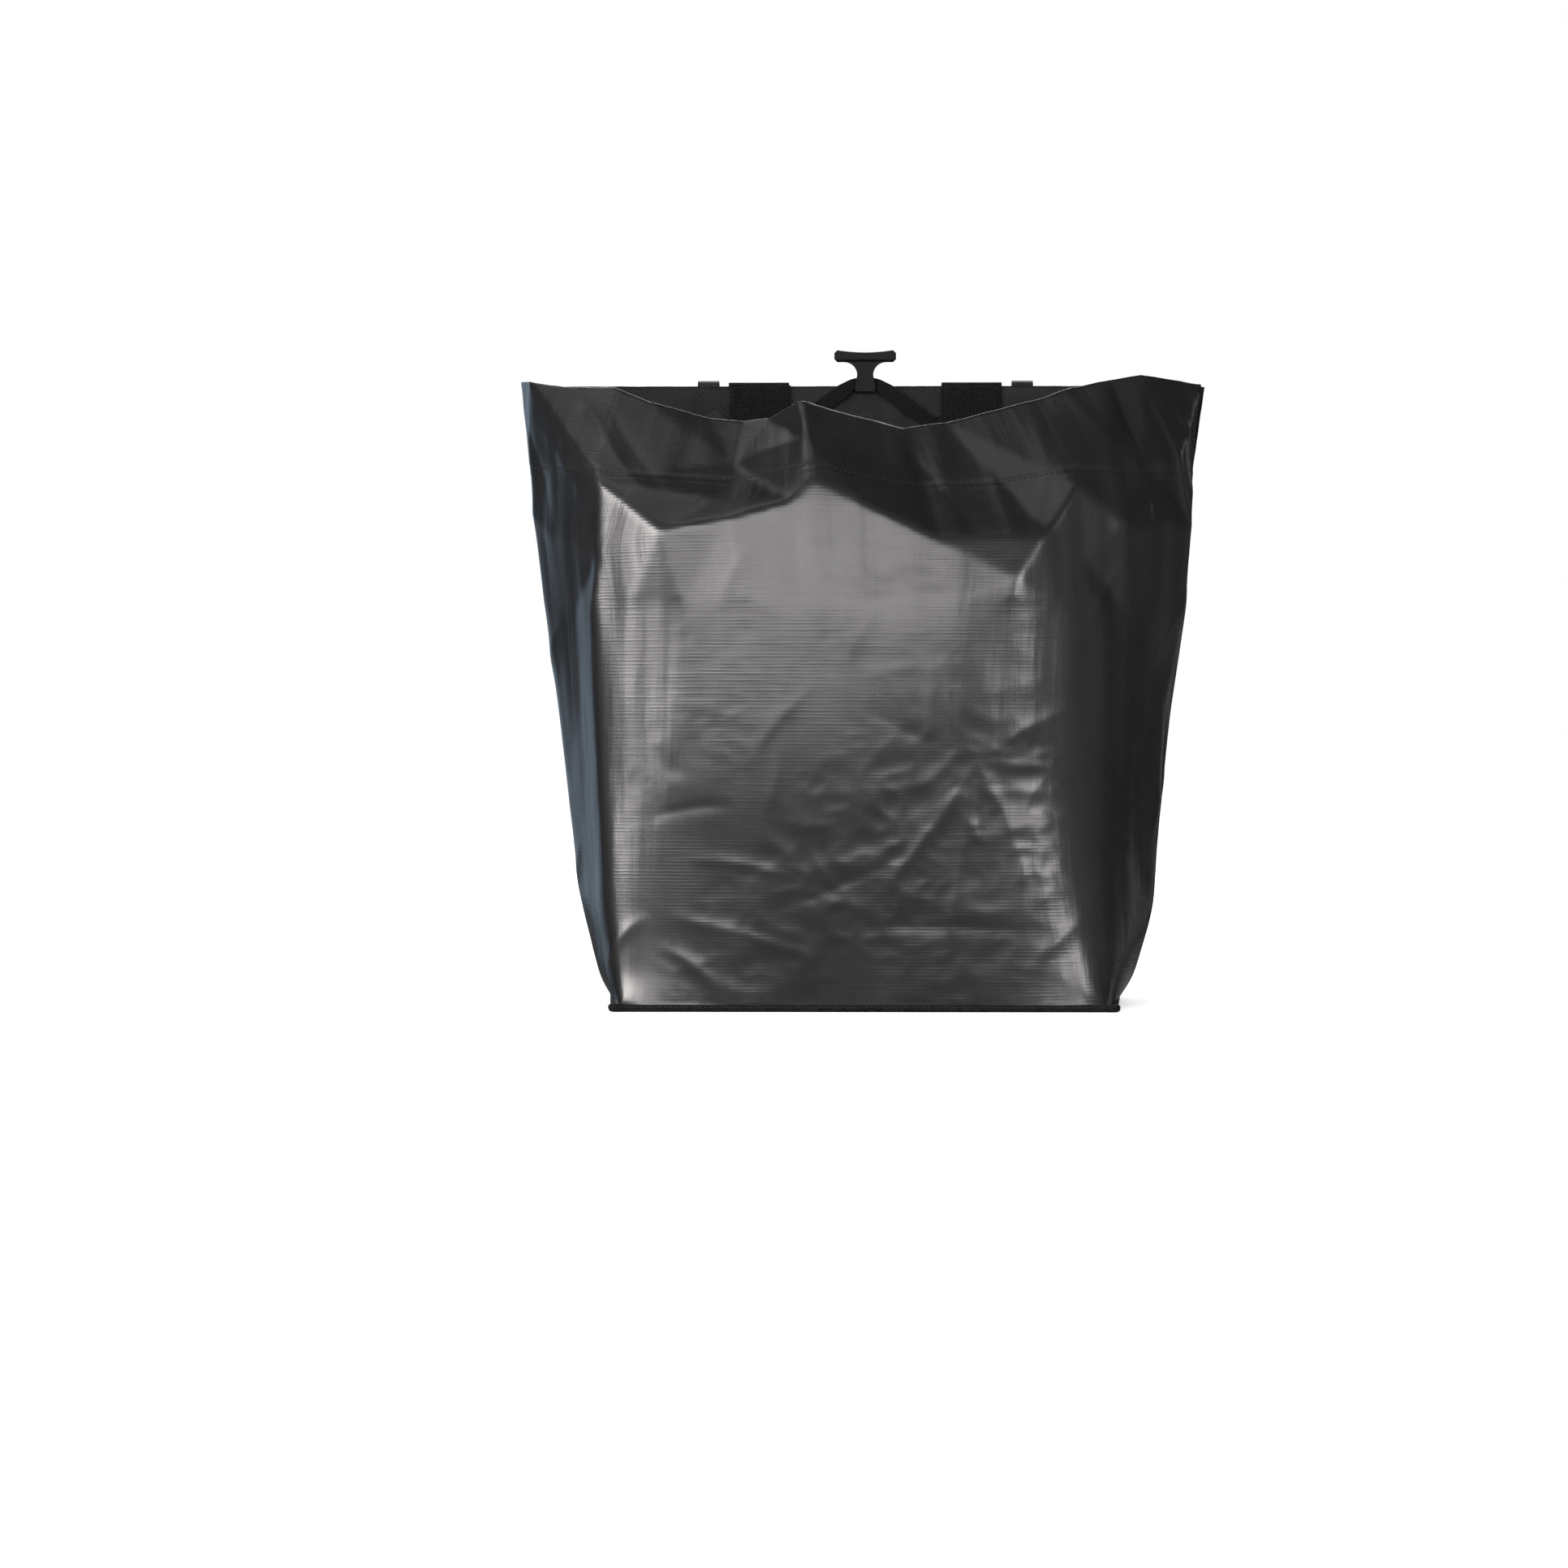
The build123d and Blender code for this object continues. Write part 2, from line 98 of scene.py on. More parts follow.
def area_light(name, place, aim, width, height, radiance, tint=(1, 1, 1)):
    """A soft rectangular light of a given brightness, unseen by the camera."""
    data = bpy.data.lights.new(name, "AREA")
    data.shape, data.size, data.size_y = "RECTANGLE", width, height
    data.energy = math.pi * radiance * width * height
    data.color = tint
    lamp = bpy.data.objects.new(name, data)
    bpy.context.scene.collection.objects.link(lamp)
    lamp.location = place
    lamp.rotation_mode = "QUATERNION"
    lamp.rotation_quaternion = (Vector(aim) - Vector(place)).to_track_quat("-Z", "Y")
    lamp.visible_camera = False


def make_lights():
    """Broad front light, strong ones at both sides, and dimmer ones behind and overhead."""
    middle = Vector((0, 0, 0.2))
    warm = (1.0, 0.965, 0.955)
    area_light("front_soft", (-0.45, -5.0, 1.62), middle, 3.8, 2.2, 7.2, warm)
    area_light("left_strip", (-2.8, -2.1, 1.20), middle, 1.3, 1.7, 21.0, warm)
    area_light("left_fill", (-2.4, -3.5, 1.50), middle, 1.4, 1.5, 12.0, warm)
    area_light("right_strip", (2.2, -2.9, 1.05), middle, 1.1, 1.5, 14.0, warm)
    area_light("back_soft", (0.3, 3.6, 2.6), middle, 2.6, 1.2, 5.0)
    area_light("left_back", (-2.0, 3.2, 0.9), middle, 2.4, 2.4, 0.65, (0.62, 0.81, 1.0))
    area_light("right_back", (2.4, 2.8, 0.9), middle, 0.22, 2.2, 1.2)
    area_light("overhead_left", (-1.25, -0.25, 2.5), middle, 0.9, 0.7, 1.8)
    area_light("overhead", (-0.3, -0.3, 2.4), middle, 0.9, 0.9, 0.8)
    area_light("overhead_back", (-1.1, 1.1, 2.3), middle, 0.7, 0.7, 1.3)


def make_world():
    """White to the camera and to matt surfaces; glossy ones see a dim room, darkest behind."""
    world = bpy.data.worlds.new("studio")
    bpy.context.scene.world = world
    world.use_nodes = True
    nodes, links = world.node_tree.nodes, world.node_tree.links
    nodes.clear()
    out = nodes.new("ShaderNodeOutputWorld")
    rays = nodes.new("ShaderNodeLightPath")
    place = nodes.new("ShaderNodeTexCoord")
    split = nodes.new("ShaderNodeSeparateXYZ")
    links.new(place.outputs["Generated"], split.inputs[0])

    def ramp(socket, stops):
        """A colour that changes with one part of the direction, from -1 to 1."""
        spread = nodes.new("ShaderNodeMapRange")
        spread.inputs["From Min"].default_value = -1
        links.new(socket, spread.inputs["Value"])
        node = nodes.new("ShaderNodeValToRGB")
        links.new(spread.outputs["Result"], node.inputs["Fac"])
        elements = node.color_ramp.elements
        while len(elements) < len(stops):
            elements.new(0.5)
        for element, (where, shade) in zip(elements, stops):
            element.position = (where + 1) / 2
            element.color = (*shade, 1)
        return node.outputs["Color"]

    def joined(operation, first, second):
        """Two colours joined part by part."""
        node = nodes.new("ShaderNodeVectorMath")
        node.operation = operation
        links.new(first, node.inputs[0])
        links.new(second, node.inputs[1])
        return node.outputs[0]

    height = ramp(split.outputs["Z"], [
        (-1.0, (0.30, 0.30, 0.32)), (-0.3, (0.43, 0.43, 0.46)), (-0.03, (0.60, 0.60, 0.64)),
        (0.05, (0.60, 0.60, 0.62)), (0.3, (0.42, 0.42, 0.43)), (1.0, (0.22, 0.22, 0.23))])
    depth = ramp(split.outputs["Y"], [
        (-1.0, (1, 1, 1)), (-0.2, (0.95, 0.95, 0.95)), (0.2, (0.35, 0.35, 0.37)),
        (0.55, (0.06, 0.06, 0.07)), (1.0, (0.01, 0.01, 0.013))])
    ground = ramp(split.outputs["Z"], [
        (-1.0, (0.45, 0.45, 0.47)), (-0.22, (0.40, 0.40, 0.42)), (-0.10, (0, 0, 0)),
        (1.0, (0, 0, 0))])
    gloss = nodes.new("ShaderNodeBackground")
    room = joined("MAXIMUM", joined("MULTIPLY", height, depth), ground)
    links.new(room, gloss.inputs["Color"])
    plain = nodes.new("ShaderNodeBackground")
    plain.inputs["Color"].default_value = (1, 1, 1, 1)
    mix = nodes.new("ShaderNodeMixShader")
    links.new(rays.outputs["Is Glossy Ray"], mix.inputs["Fac"])
    links.new(plain.outputs[0], mix.inputs[1])
    links.new(gloss.outputs[0], mix.inputs[2])
    links.new(mix.outputs[0], out.inputs["Surface"])
    bpy.context.scene.view_settings.view_transform = "Standard"


def make_floor():
    """A plain pale floor that runs into the white background."""
    mesh = bpy.data.meshes.new("floor")
    side = 30
    mesh.from_pydata([(-side, -side, 0), (side, -side, 0), (side, side, 0), (-side, side, 0)],
                     [], [(0, 1, 2, 3)])
    floor = bpy.data.objects.new("floor", mesh)
    bpy.context.scene.collection.objects.link(floor)
    floor.visible_glossy = False
    material = bpy.data.materials.new("floor_paint")
    material.use_nodes = True
    shader = material.node_tree.nodes["Principled BSDF"]
    shader.inputs["Base Color"].default_value = (0.8, 0.8, 0.8, 1)
    shader.inputs["Roughness"].default_value = 1.0
    shader.inputs["Specular IOR Level"].default_value = 0.0
    shader.inputs["Emission Color"].default_value = (1, 1, 1, 1)
    shader.inputs["Emission Strength"].default_value = 0.22
    mesh.materials.append(material)


# ---- materials ----
class Paint:
    """Small helper that builds one node material."""

    def __init__(self, name):
        self.material = bpy.data.materials.new(name)
        self.material.use_nodes = True
        self.nodes = self.material.node_tree.nodes
        self.links = self.material.node_tree.links
        self.shader = self.nodes["Principled BSDF"]
        self.heights = []

    def set(self, **sockets):
        """Plain values on the shader's own sockets."""
        for name, value in sockets.items():
            self.shader.inputs[name.replace("_", " ")].default_value = value
        return self

    def place(self, uv=None, scale=(1, 1, 1)):
        """Texture space in metres: the cloth's own, or the object's."""
        if uv:
            source = self.nodes.new("ShaderNodeUVMap")
            source.uv_map = uv
            output = source.outputs["UV"]
        else:
            source = self.nodes.new("ShaderNodeTexCoord")
            output = source.outputs["Object"]
        mapping = self.nodes.new("ShaderNodeMapping")
        mapping.inputs["Scale"].default_value = scale
        self.links.new(output, mapping.inputs["Vector"])
        return mapping.outputs["Vector"]

    def noise(self, space, scale, detail=3, distortion=0.0):
        node = self.nodes.new("ShaderNodeTexNoise")
        node.inputs["Scale"].default_value = scale
        node.inputs["Detail"].default_value = detail
        node.inputs["Distortion"].default_value = distortion
        self.links.new(space, node.inputs["Vector"])
        return node.outputs["Fac"]

    def bands(self, space, pitch, direction="Y", distortion=0.0):
        """Sine ridges a pitch apart, in metres."""
        node = self.nodes.new("ShaderNodeTexWave")
        node.bands_direction = direction
        node.wave_profile = "SIN"
        node.inputs["Scale"].default_value = math.tau / 20 / pitch
        node.inputs["Distortion"].default_value = distortion
        node.inputs["Detail"].default_value = 0
        self.links.new(space, node.inputs["Vector"])
        return node.outputs["Fac"]

    def weave(self, space, pitch):
        """Plain weave: warp and weft ridges that go over and under each other."""
        weft = self.bands(space, pitch, "Y")
        warp = self.bands(space, pitch, "X")
        over = self.bands(space, 2 * pitch, "DIAGONAL")
        return self.math("MAXIMUM", self.math("MULTIPLY", weft, over),
                         self.math("MULTIPLY", warp, self.math("SUBTRACT", 1.0, over)))

    def math(self, operation, a, b):
        node = self.nodes.new("ShaderNodeMath")
        node.operation = operation
        for socket, value in zip(node.inputs, (a, b)):
            if isinstance(value, (int, float)):
                socket.default_value = value
            else:
                self.links.new(value, socket)
        return node.outputs[0]

    def spread(self, value, low, high, to_low=0.0, to_high=1.0):
        """Maps a value from one range to another, clamped."""
        node = self.nodes.new("ShaderNodeMapRange")
        names = ("From Min", "From Max", "To Min", "To Max")
        for name, number in zip(names, (low, high, to_low, to_high)):
            node.inputs[name].default_value = number
        self.links.new(value, node.inputs["Value"])
        return node.outputs["Result"]

    def colour(self, value, stops):
        """Base colour from a ramp: (position, colour) pairs."""
        node = self.nodes.new("ShaderNodeValToRGB")
        elements = node.color_ramp.elements
        while len(elements) < len(stops):
            elements.new(0.5)
        for element, (position, shade) in zip(elements, stops):
            element.position = position
            element.color = (*shade, 1)
        self.links.new(value, node.inputs["Fac"])
        self.links.new(node.outputs["Color"], self.shader.inputs["Base Color"])
        return self

    def roughness(self, value):
        self.links.new(value, self.shader.inputs["Roughness"])
        return self

    def relief(self, value, depth):
        """Adds a bump of a real depth in metres."""
        self.heights.append((value, depth))
        return self

    def done(self):
        """Chains the bumps into the shader's normal."""
        last = None
        for value, depth in self.heights:
            node = self.nodes.new("ShaderNodeBump")
            node.inputs["Distance"].default_value = depth
            self.links.new(value, node.inputs["Height"])
            if last:
                self.links.new(last, node.inputs["Normal"])
            last = node.outputs["Normal"]
        if last:
            self.links.new(last, self.shader.inputs["Normal"])
        return self.material


def tarpaulin():
    """Glossy black coated cloth: the scrim shows faintly through the coating, with scuffs."""
    paint = Paint("tarpaulin")
    cloth = paint.place("cloth")
    solid = paint.place()
    patches = paint.noise(solid, 9, 4)
    smudge = paint.noise(solid, 38, 3)
    streaks = paint.noise(paint.place("cloth", (60, 7, 1)), 1, 3, 0.3)
    weft = paint.bands(cloth, 0.0021, "Y", 0.6)
    warp = paint.bands(cloth, 0.0024, "X", 0.6)
    yarns = paint.noise(paint.place("cloth", (22, 420, 1)), 1, 2)
    shows = paint.math("MULTIPLY", paint.spread(patches, 0.38, 0.62, 0.15, 1.0),
                       paint.spread(yarns, 0.35, 0.65))
    paint.relief(paint.math("MULTIPLY", weft, shows), 0.000045)
    paint.relief(paint.math("MULTIPLY", warp, shows), 0.00001)
    paint.relief(streaks, 0.0006)
    paint.relief(paint.noise(solid, 900, 2), 0.00002)
    mixed = paint.math("ADD", paint.math("MULTIPLY", patches, 0.6),
                       paint.math("MULTIPLY", smudge, 0.4))
    paint.colour(mixed, [(0.3, grey(0.0025)), (0.55, grey(0.0035)), (0.75, grey(0.006))])
    paint.roughness(paint.spread(mixed, 0.3, 0.7, 0.25, 0.33))
    return paint.set(IOR=1.5).done()


def grey(value):
    return (value, value, value)


def woven(name, dark, light, rough, sheen, fuzz_scale, reliefs):
    """A woven material: fuzz in its colour and gloss, and (kind, pitch, direction, depth) reliefs."""
    paint = Paint(name)
    cloth = paint.place("cloth")
    fuzz = paint.noise(paint.place(), fuzz_scale, 4)
    for kind, pitch, direction, depth in reliefs:
        shape = paint.weave(cloth, pitch) if kind == "weave" else paint.bands(cloth, pitch, direction)
        paint.relief(shape, depth)
    paint.relief(fuzz, 0.00010)
    paint.colour(fuzz, [(0.3, grey(dark)), (0.7, grey(light))])
    paint.roughness(paint.spread(fuzz, 0.3, 0.7, rough - 0.1, rough + 0.1))
    return paint.set(Sheen_Weight=sheen, Sheen_Roughness=0.5, Specular_IOR_Level=0.035).done()


def moulded(name, dark, light, rough, grain=0.00005, scale=900):
    """Moulded plastic or rubber: fine grain, handling marks and uneven gloss."""
    paint = Paint(name)
    solid = paint.place()
    marks = paint.noise(solid, 45, 5, 0.5)
    paint.relief(paint.noise(solid, scale, 3), grain)
    paint.relief(paint.noise(solid, 120, 2), 0.0002)
    paint.colour(marks, [(0.3, grey(dark)), (0.7, grey(light))])
    paint.roughness(paint.spread(marks, 0.3, 0.7, rough - 0.08, rough + 0.08))
    return paint.set(Specular_IOR_Level=0.09).done()


def brushed(name, dark, light, rough, stretch):
    """Brushed or rolled metal with fine lines one way and dull spots."""
    paint = Paint(name)
    lines = paint.noise(paint.place(scale=stretch), 1, 4)
    spots = paint.noise(paint.place(), 160, 4)
    paint.relief(lines, 0.00003)
    mixed = paint.math("ADD", paint.math("MULTIPLY", lines, 0.6),
                       paint.math("MULTIPLY", spots, 0.4))
    paint.colour(mixed, [(0.3, grey(dark)), (0.7, grey(light))])
    paint.roughness(paint.spread(mixed, 0.3, 0.7, rough - 0.07, rough + 0.1))
    return paint.set(Metallic=1.0).done()


LOOK = {
    "tarpaulin": tarpaulin(),
    "lining": woven("lining", 0.005, 0.010, 0.45, 0.03, 26, [("weave", 0.0009, "", 0.00012)]),
    "binding_tape": woven("binding_tape", 0.002, 0.006, 0.6, 0.03, 300,
                          [("ribs", 0.0012, "Y", 0.00022)]),
    "webbing": woven("webbing", 0.0015, 0.005, 0.65, 0.02, 420,
                     [("ribs", 0.0013, "Y", 0.0003), ("ribs", 0.0020, "X", 0.0003)]),
    "elastic_fabric": woven("elastic_fabric", 0.0015, 0.005, 0.75, 0.02, 500,
                            [("ribs", 0.0014, "X", 0.0004), ("ribs", 0.0008, "DIAGONAL", 0.0002)]),
    "patch_cloth": woven("patch_cloth", 0.005, 0.012, 0.6, 0.05, 350,
                         [("weave", 0.0011, "", 0.00025)]),
    "thread": woven("thread", 0.004, 0.012, 0.55, 0.03, 900, [("ribs", 0.0006, "DIAGONAL", 0.0001)]),
    "stiffener_plastic": moulded("stiffener_plastic", 0.018, 0.030, 0.5, 0.0001, 500),
    "hook_nylon": moulded("hook_nylon", 0.006, 0.014, 0.42, 0.00006, 700),
    "liner_rubber": moulded("liner_rubber", 0.008, 0.016, 0.7),
    "pull_rubber": moulded("pull_rubber", 0.0015, 0.004, 0.62),
    "rail_aluminium": brushed("rail_aluminium", 0.035, 0.07, 0.36, (25, 900, 900)),
    "fastener_steel": brushed("fastener_steel", 0.005, 0.014, 0.42, (300, 300, 300)),
}


# ---- the flat cloth in space ----
def levels():
    """Cross-sections of the lower cloth: left back corner, front, right back corner, mm."""
    return {
        1: [(-165, 0), (-160.5, 84), (-156.5, 154), (-155, 166.5), (-149, 168.5), (-80, 168.5),
            (0, 168.5), (80, 168.5), (149, 168.5), (155, 166.5), (156.5, 154), (160.5, 84),
            (165, 0)],
        15: [(-168, 0), (-171, 75), (-164, 122), (-160, 152), (-154, 162), (-143, 166),
             (-105, 168), (-66, 169.5), (0, 170.5), (70, 170), (112, 168), (144, 165.5),
             (155, 161), (160, 146), (173, 75), (168, 0)],
        65: [(-176, 0), (-184, 72), (-173, 114), (-165, 149), (-156, 158), (-143, 163.5),
             (-110, 169.5), (-72, 173.5), (-20, 175.5), (55, 175), (94, 171.5), (130, 163.5),
             (150, 149), (188, 66), (176, 0)],
        135: [(-186, 0), (-192.5, 70), (-178, 111), (-168, 146), (-143, 161), (-112, 171.5),
              (-72, 178), (-20, 180), (50, 179), (92, 172), (128, 159), (154, 132), (193, 62),
              (186, 0)],
        195: [(-195, 0), (-200, 68), (-181, 109), (-170, 144.5), (-145, 158.5), (-114, 170.5),
              (-72, 178.5), (-20, 181.5), (50, 181), (92, 174.5), (129, 160.5), (156, 132),
              (198, 60), (195, 0)],
        253: [(-203, 0), (-207, 64), (-184, 110), (-172, 142), (-147, 156), (-115, 167.5),
              (-72, 175.5), (-20, 179), (50, 179), (92, 174.5), (120, 162.5), (144, 143.5),
              (166, 116), (207, 58), (203, 0)],
    }


# Where the upper cloth passes: place on the flat cloth (across, up), then x, depth and z, in mm.
LEFT_GUSSET = [
    (0, 312, -209.5, 0, 310), (0, 357, -216, 0, 355), (0, 405, -223, 0, 404),
    (14, 405, -226, 14, 404), (16, 357, -218, 15, 355), (60, 314, -214, 62, 312),
    (58, 361, -219, 54, 358), (113, 303, -188, 112, 300), (160, 293, -168, 144, 290),
]
RIGHT_GUSSET = [
    (650, 312, 210, 0, 310), (650, 357, 216, 0, 355), (650, 405, 221, 0, 403),
    (591, 313, 212, 56, 310), (586, 360, 205, 54, 355), (478, 285, 139, 143, 284),
    (518, 310, 166, 124, 307), (548, 357, 178, 86, 350),
]
LEFT_CREASE = [(63, 405, -218, 50, 402), (103, 374, -194, 94, 369), (145, 342, -169, 140, 335),
               (203, 306, -129, 165, 303)]
MIDDLE_CREASE = [(203, 306, -129, 165, 303), (245, 313, -86, 169, 310),
                 (285, 324, -46, 169, 321), (299, 338, -31, 166, 335), (328, 325, -2, 169, 321),
                 (376, 300, 47, 171, 297), (428, 273, 96, 173, 271)]
RIGHT_CREASE = [(428, 273, 96, 173, 271), (451, 303, 115, 160, 300), (477, 334, 135, 141, 330),
                (510, 374, 155, 102, 363)]
RIDGE = [(290, 405, -41, 124, 385), (295, 372, -36, 146, 361), (299, 338, -31, 166, 335)]
VALLEY = [(243, 405, -78, 92, 374), (238, 365, -84, 120, 346), (232, 330, -96, 153, 322)]
MOUTH = [(63, 405, -218, 50, 402), (96, 405, -194, 66, 398), (138, 405, -160, 82, 396),
         (165, 405, -139, 88, 387), (215, 405, -100, 90, 376), (243, 405, -78, 92, 374),
         (264, 405, -60, 104, 375), (290, 405, -41, 124, 385), (306, 405, -28, 117, 382),
         (332, 405, -8, 106, 377), (370, 405, 25, 90, 369), (405, 405, 52, 86, 373),
         (450, 405, 90, 80, 383), (490, 405, 118, 74, 391), (512, 405, 133, 68, 397),
         (545, 405, 158, 60, 402), (577, 405, 179, 50, 406)]
SIDE_FOLD = [(577, 405, 179, 50, 406), (586, 360, 205, 54, 355)]


def key_net():
    """All the places the cloth passes, and which of them a fold joins."""
    places, index, folds = [], {}, []

    def add(point):
        key = point[:2]
        if key not in index:
            index[key] = len(places)
            places.append(point)
        return index[key]

    for z, section in levels().items():
        steps = [math.dist(a, b) for a, b in zip(section, section[1:])]
        along, row = 0.0, []
        for step, (x, depth) in zip([0] + steps, section):
            along += step
            row.append(add((round(CUT_WIDTH * along / sum(steps), 1), z - 1, x, depth, z)))
        folds += list(zip(row, row[1:]))
    for line in (LEFT_CREASE, MIDDLE_CREASE, RIGHT_CREASE, RIDGE, VALLEY, MOUTH, SIDE_FOLD):
        row = [add(point) for point in line]
        folds += list(zip(row, row[1:]))
    for point in LEFT_GUSSET + RIGHT_GUSSET:
        add(point)
    return places, folds


def first_shape():
    """Every grid point of the flat cloth, placed on the flat facets between the known places."""
    places, folds = key_net()
    flat = [Vector(p[:2]) for p in places]
    made = geometry.delaunay_2d_cdt(flat, folds, [], 0, 1e-4)
    flat_out, triangles, source = made[0], made[2], made[3]
    solid = [at(*places[ids[0]][2:]) for ids in source]
    across, up = round(CUT_WIDTH / GRID), round(CUT_HEIGHT / GRID)
    u, v = np.meshgrid(np.linspace(0, CUT_WIDTH, across + 1), np.linspace(0, CUT_HEIGHT, up + 1))
    grid = np.zeros((*u.shape, 3))
    done = np.zeros(u.shape, bool)
    for a, b, c in triangles:
        pa, pb, pc = flat_out[a], flat_out[b], flat_out[c]
        area = (pb - pa).cross(pc - pa)
        if abs(area) < 1e-9:
            continue
        wb = ((u - pa.x) * (pc.y - pa.y) - (v - pa.y) * (pc.x - pa.x)) / area
        wc = ((pb.x - pa.x) * (v - pa.y) - (pb.y - pa.y) * (u - pa.x)) / area
        wa = 1 - wb - wc
        inside = (wa > -1e-6) & (wb > -1e-6) & (wc > -1e-6) & ~done
        corners = [np.array(solid[k]) for k in (a, b, c)]
        for w, corner in zip((wa, wb, wc), corners):
            grid[inside] += w[inside, None] * corner
        done |= inside
    if not done.all():
        raise RuntimeError("part of the flat cloth has no place")
    return grid, u, v


def soften(grid, strength, rounds):
    """Rounds the folds: each inner point moves towards its neighbours by a local strength."""
    for _ in range(rounds):
        mean = (grid[:-2, 1:-1] + grid[2:, 1:-1] + grid[1:-1, :-2] + grid[1:-1, 2:]) / 4
        grid[1:-1, 1:-1] += strength[1:-1, 1:-1, None] * (mean - grid[1:-1, 1:-1])
    return grid


def add_piece(name, vertices, faces, flat):
    """A smooth mesh; the flat place of each vertex, in mm, goes into a UV map in metres."""
    mesh = bpy.data.meshes.new(name)
    mesh.from_pydata(vertices, [], faces)
    layer = mesh.uv_layers.new(name="cloth")
    loops = np.zeros(len(mesh.loops), np.int32)
    mesh.loops.foreach_get("vertex_index", loops)
    layer.data.foreach_set("uv", (np.asarray(flat, np.float32)[loops] * MM).ravel())
    mesh.shade_smooth()
    piece = bpy.data.objects.new(name, mesh)
    bpy.context.scene.collection.objects.link(piece)
    return piece


def grid_mesh(name, grid, u, v):
    """A mesh of quads over a grid of points in metres, with its flat place in mm."""
    rows, columns = u.shape
    faces = [(r * columns + c, r * columns + c + 1, (r + 1) * columns + c + 1, (r + 1) * columns + c)
             for r in range(rows - 1) for c in range(columns - 1)]
    flat = np.stack([u.ravel(), v.ravel()], axis=1)
    return add_piece(name, grid.reshape(-1, 3).tolist(), faces, flat)


def grid_normals(grid):
    """Unit normals of a grid of points."""
    normal = np.cross(np.gradient(grid, axis=1), np.gradient(grid, axis=0))
    return normal / np.maximum(np.linalg.norm(normal, axis=2, keepdims=True), 1e-12)


def finer(grid):
    """Twice as many points both ways, on a smooth curve through the old ones."""
    for axis in (0, 1):
        old = np.moveaxis(grid, axis, 0)
        wide = np.concatenate([2 * old[:1] - old[1:2], old, 2 * old[-1:] - old[-2:-1]])
        out = np.empty((2 * len(old) - 1, *old.shape[1:]))
        out[0::2] = old
        out[1::2] = (9 * (wide[1:-2] + wide[2:-1]) - wide[:-3] - wide[3:]) / 16
        grid = np.moveaxis(out, 0, axis)
    return grid


def lumps(u, v, size, seed, stretch=1.0):
    """Smooth noise over the flat cloth, about -1 to 1, with lumps of a size in mm."""
    out = [noise.noise((a / size, b / size / stretch, seed)) for a, b in zip(u.ravel(), v.ravel())]
    return np.array(out).reshape(u.shape)


def solidify(piece, thickness):
    """Gives a sheet its thickness, inwards from its outer face."""
    modifier = piece.modifiers.new("thickness", "SOLIDIFY")
    modifier.thickness = thickness * MM
    modifier.offset = -1
    return piece


def finish_piece(piece, node, body="shell"):
    """The piece stands for its node and rides on its body."""
    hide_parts(node)
    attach(piece, body)


# ---- thread ----
def densely(points, step=1.5):
    """The same path with points at most a step in mm apart."""
    out = [points[0]]
    for a, b in zip(points, points[1:]):
        parts = max(1, round((b - a).length / MM / step))
        out += [a.lerp(b, k / parts) for k in range(1, parts + 1)]
    return out


def one_stitch(centre, along, across, out, size):
    """One loop of thread as a small lozenge: its points and faces."""
    half, side, high = (s * MM for s in size)
    points = [centre - along * half - out * high * 0.4, centre + along * half - out * high * 0.4]
    for s in (-0.55, 0.55):
        points += [centre + along * half * s + across * side + out * high * 0.2,
                   centre + along * half * s + out * high,
                   centre + along * half * s - across * side + out * high * 0.2]
    faces = [(0, 3, 2), (0, 4, 3), (0, 2, 4), (1, 5, 6), (1, 6, 7), (1, 7, 5),
             (2, 3, 6, 5), (3, 4, 7, 6), (4, 2, 5, 7)]
    return points, faces


def stitches(path, outs, pitch=3.4, size=(1.25, 0.28, 0.3)):
    """A row of stitches along a path of points in metres; size is half length, half width, rise."""
    vertices, faces = [], []
    gone, due = 0.0, 0.0
    for a, b, out in zip(path, path[1:], outs):
        step = (b - a).length
        if step < 1e-9:
            continue
        along = (b - a) / step
        across = out.cross(along).normalized()
        while due <= gone + step:
            points, joined = one_stitch(a + along * (due - gone), along, across, out, size)
            faces += [tuple(len(vertices) + i for i in face) for face in joined]
            vertices += points
            due += pitch * MM
        gone += step
    return vertices, faces


def sew(piece, rows):
    """Adds rows of stitches to a piece, as thread of its own material."""
    mesh = piece.data
    name, materials = piece.name, list(mesh.materials)
    vertices = [v.co.copy() for v in mesh.vertices]
    faces = [tuple(p.vertices) for p in mesh.polygons]
    loops = np.zeros(len(mesh.loops), np.int32)
    mesh.loops.foreach_get("vertex_index", loops)
    uv = np.zeros(len(mesh.loops) * 2, np.float32)
    mesh.uv_layers["cloth"].data.foreach_get("uv", uv)
    flat = np.zeros((len(vertices) + sum(len(row[0]) for row in rows), 2), np.float32)
    flat[loops] = uv.reshape(-1, 2) / MM
    cloth_faces = len(faces)
    for points, joined in rows:
        faces += [tuple(len(vertices) + i for i in face) for face in joined]
        vertices += points
    bpy.data.objects.remove(piece)
    bpy.data.meshes.remove(mesh)
    sewn = add_piece(name, [tuple(v) for v in vertices], faces, flat)
    for material in materials + [LOOK["thread"]]:
        sewn.data.materials.append(material)
    for face in sewn.data.polygons[cloth_faces:]:
        face.material_index = len(materials)
    return sewn


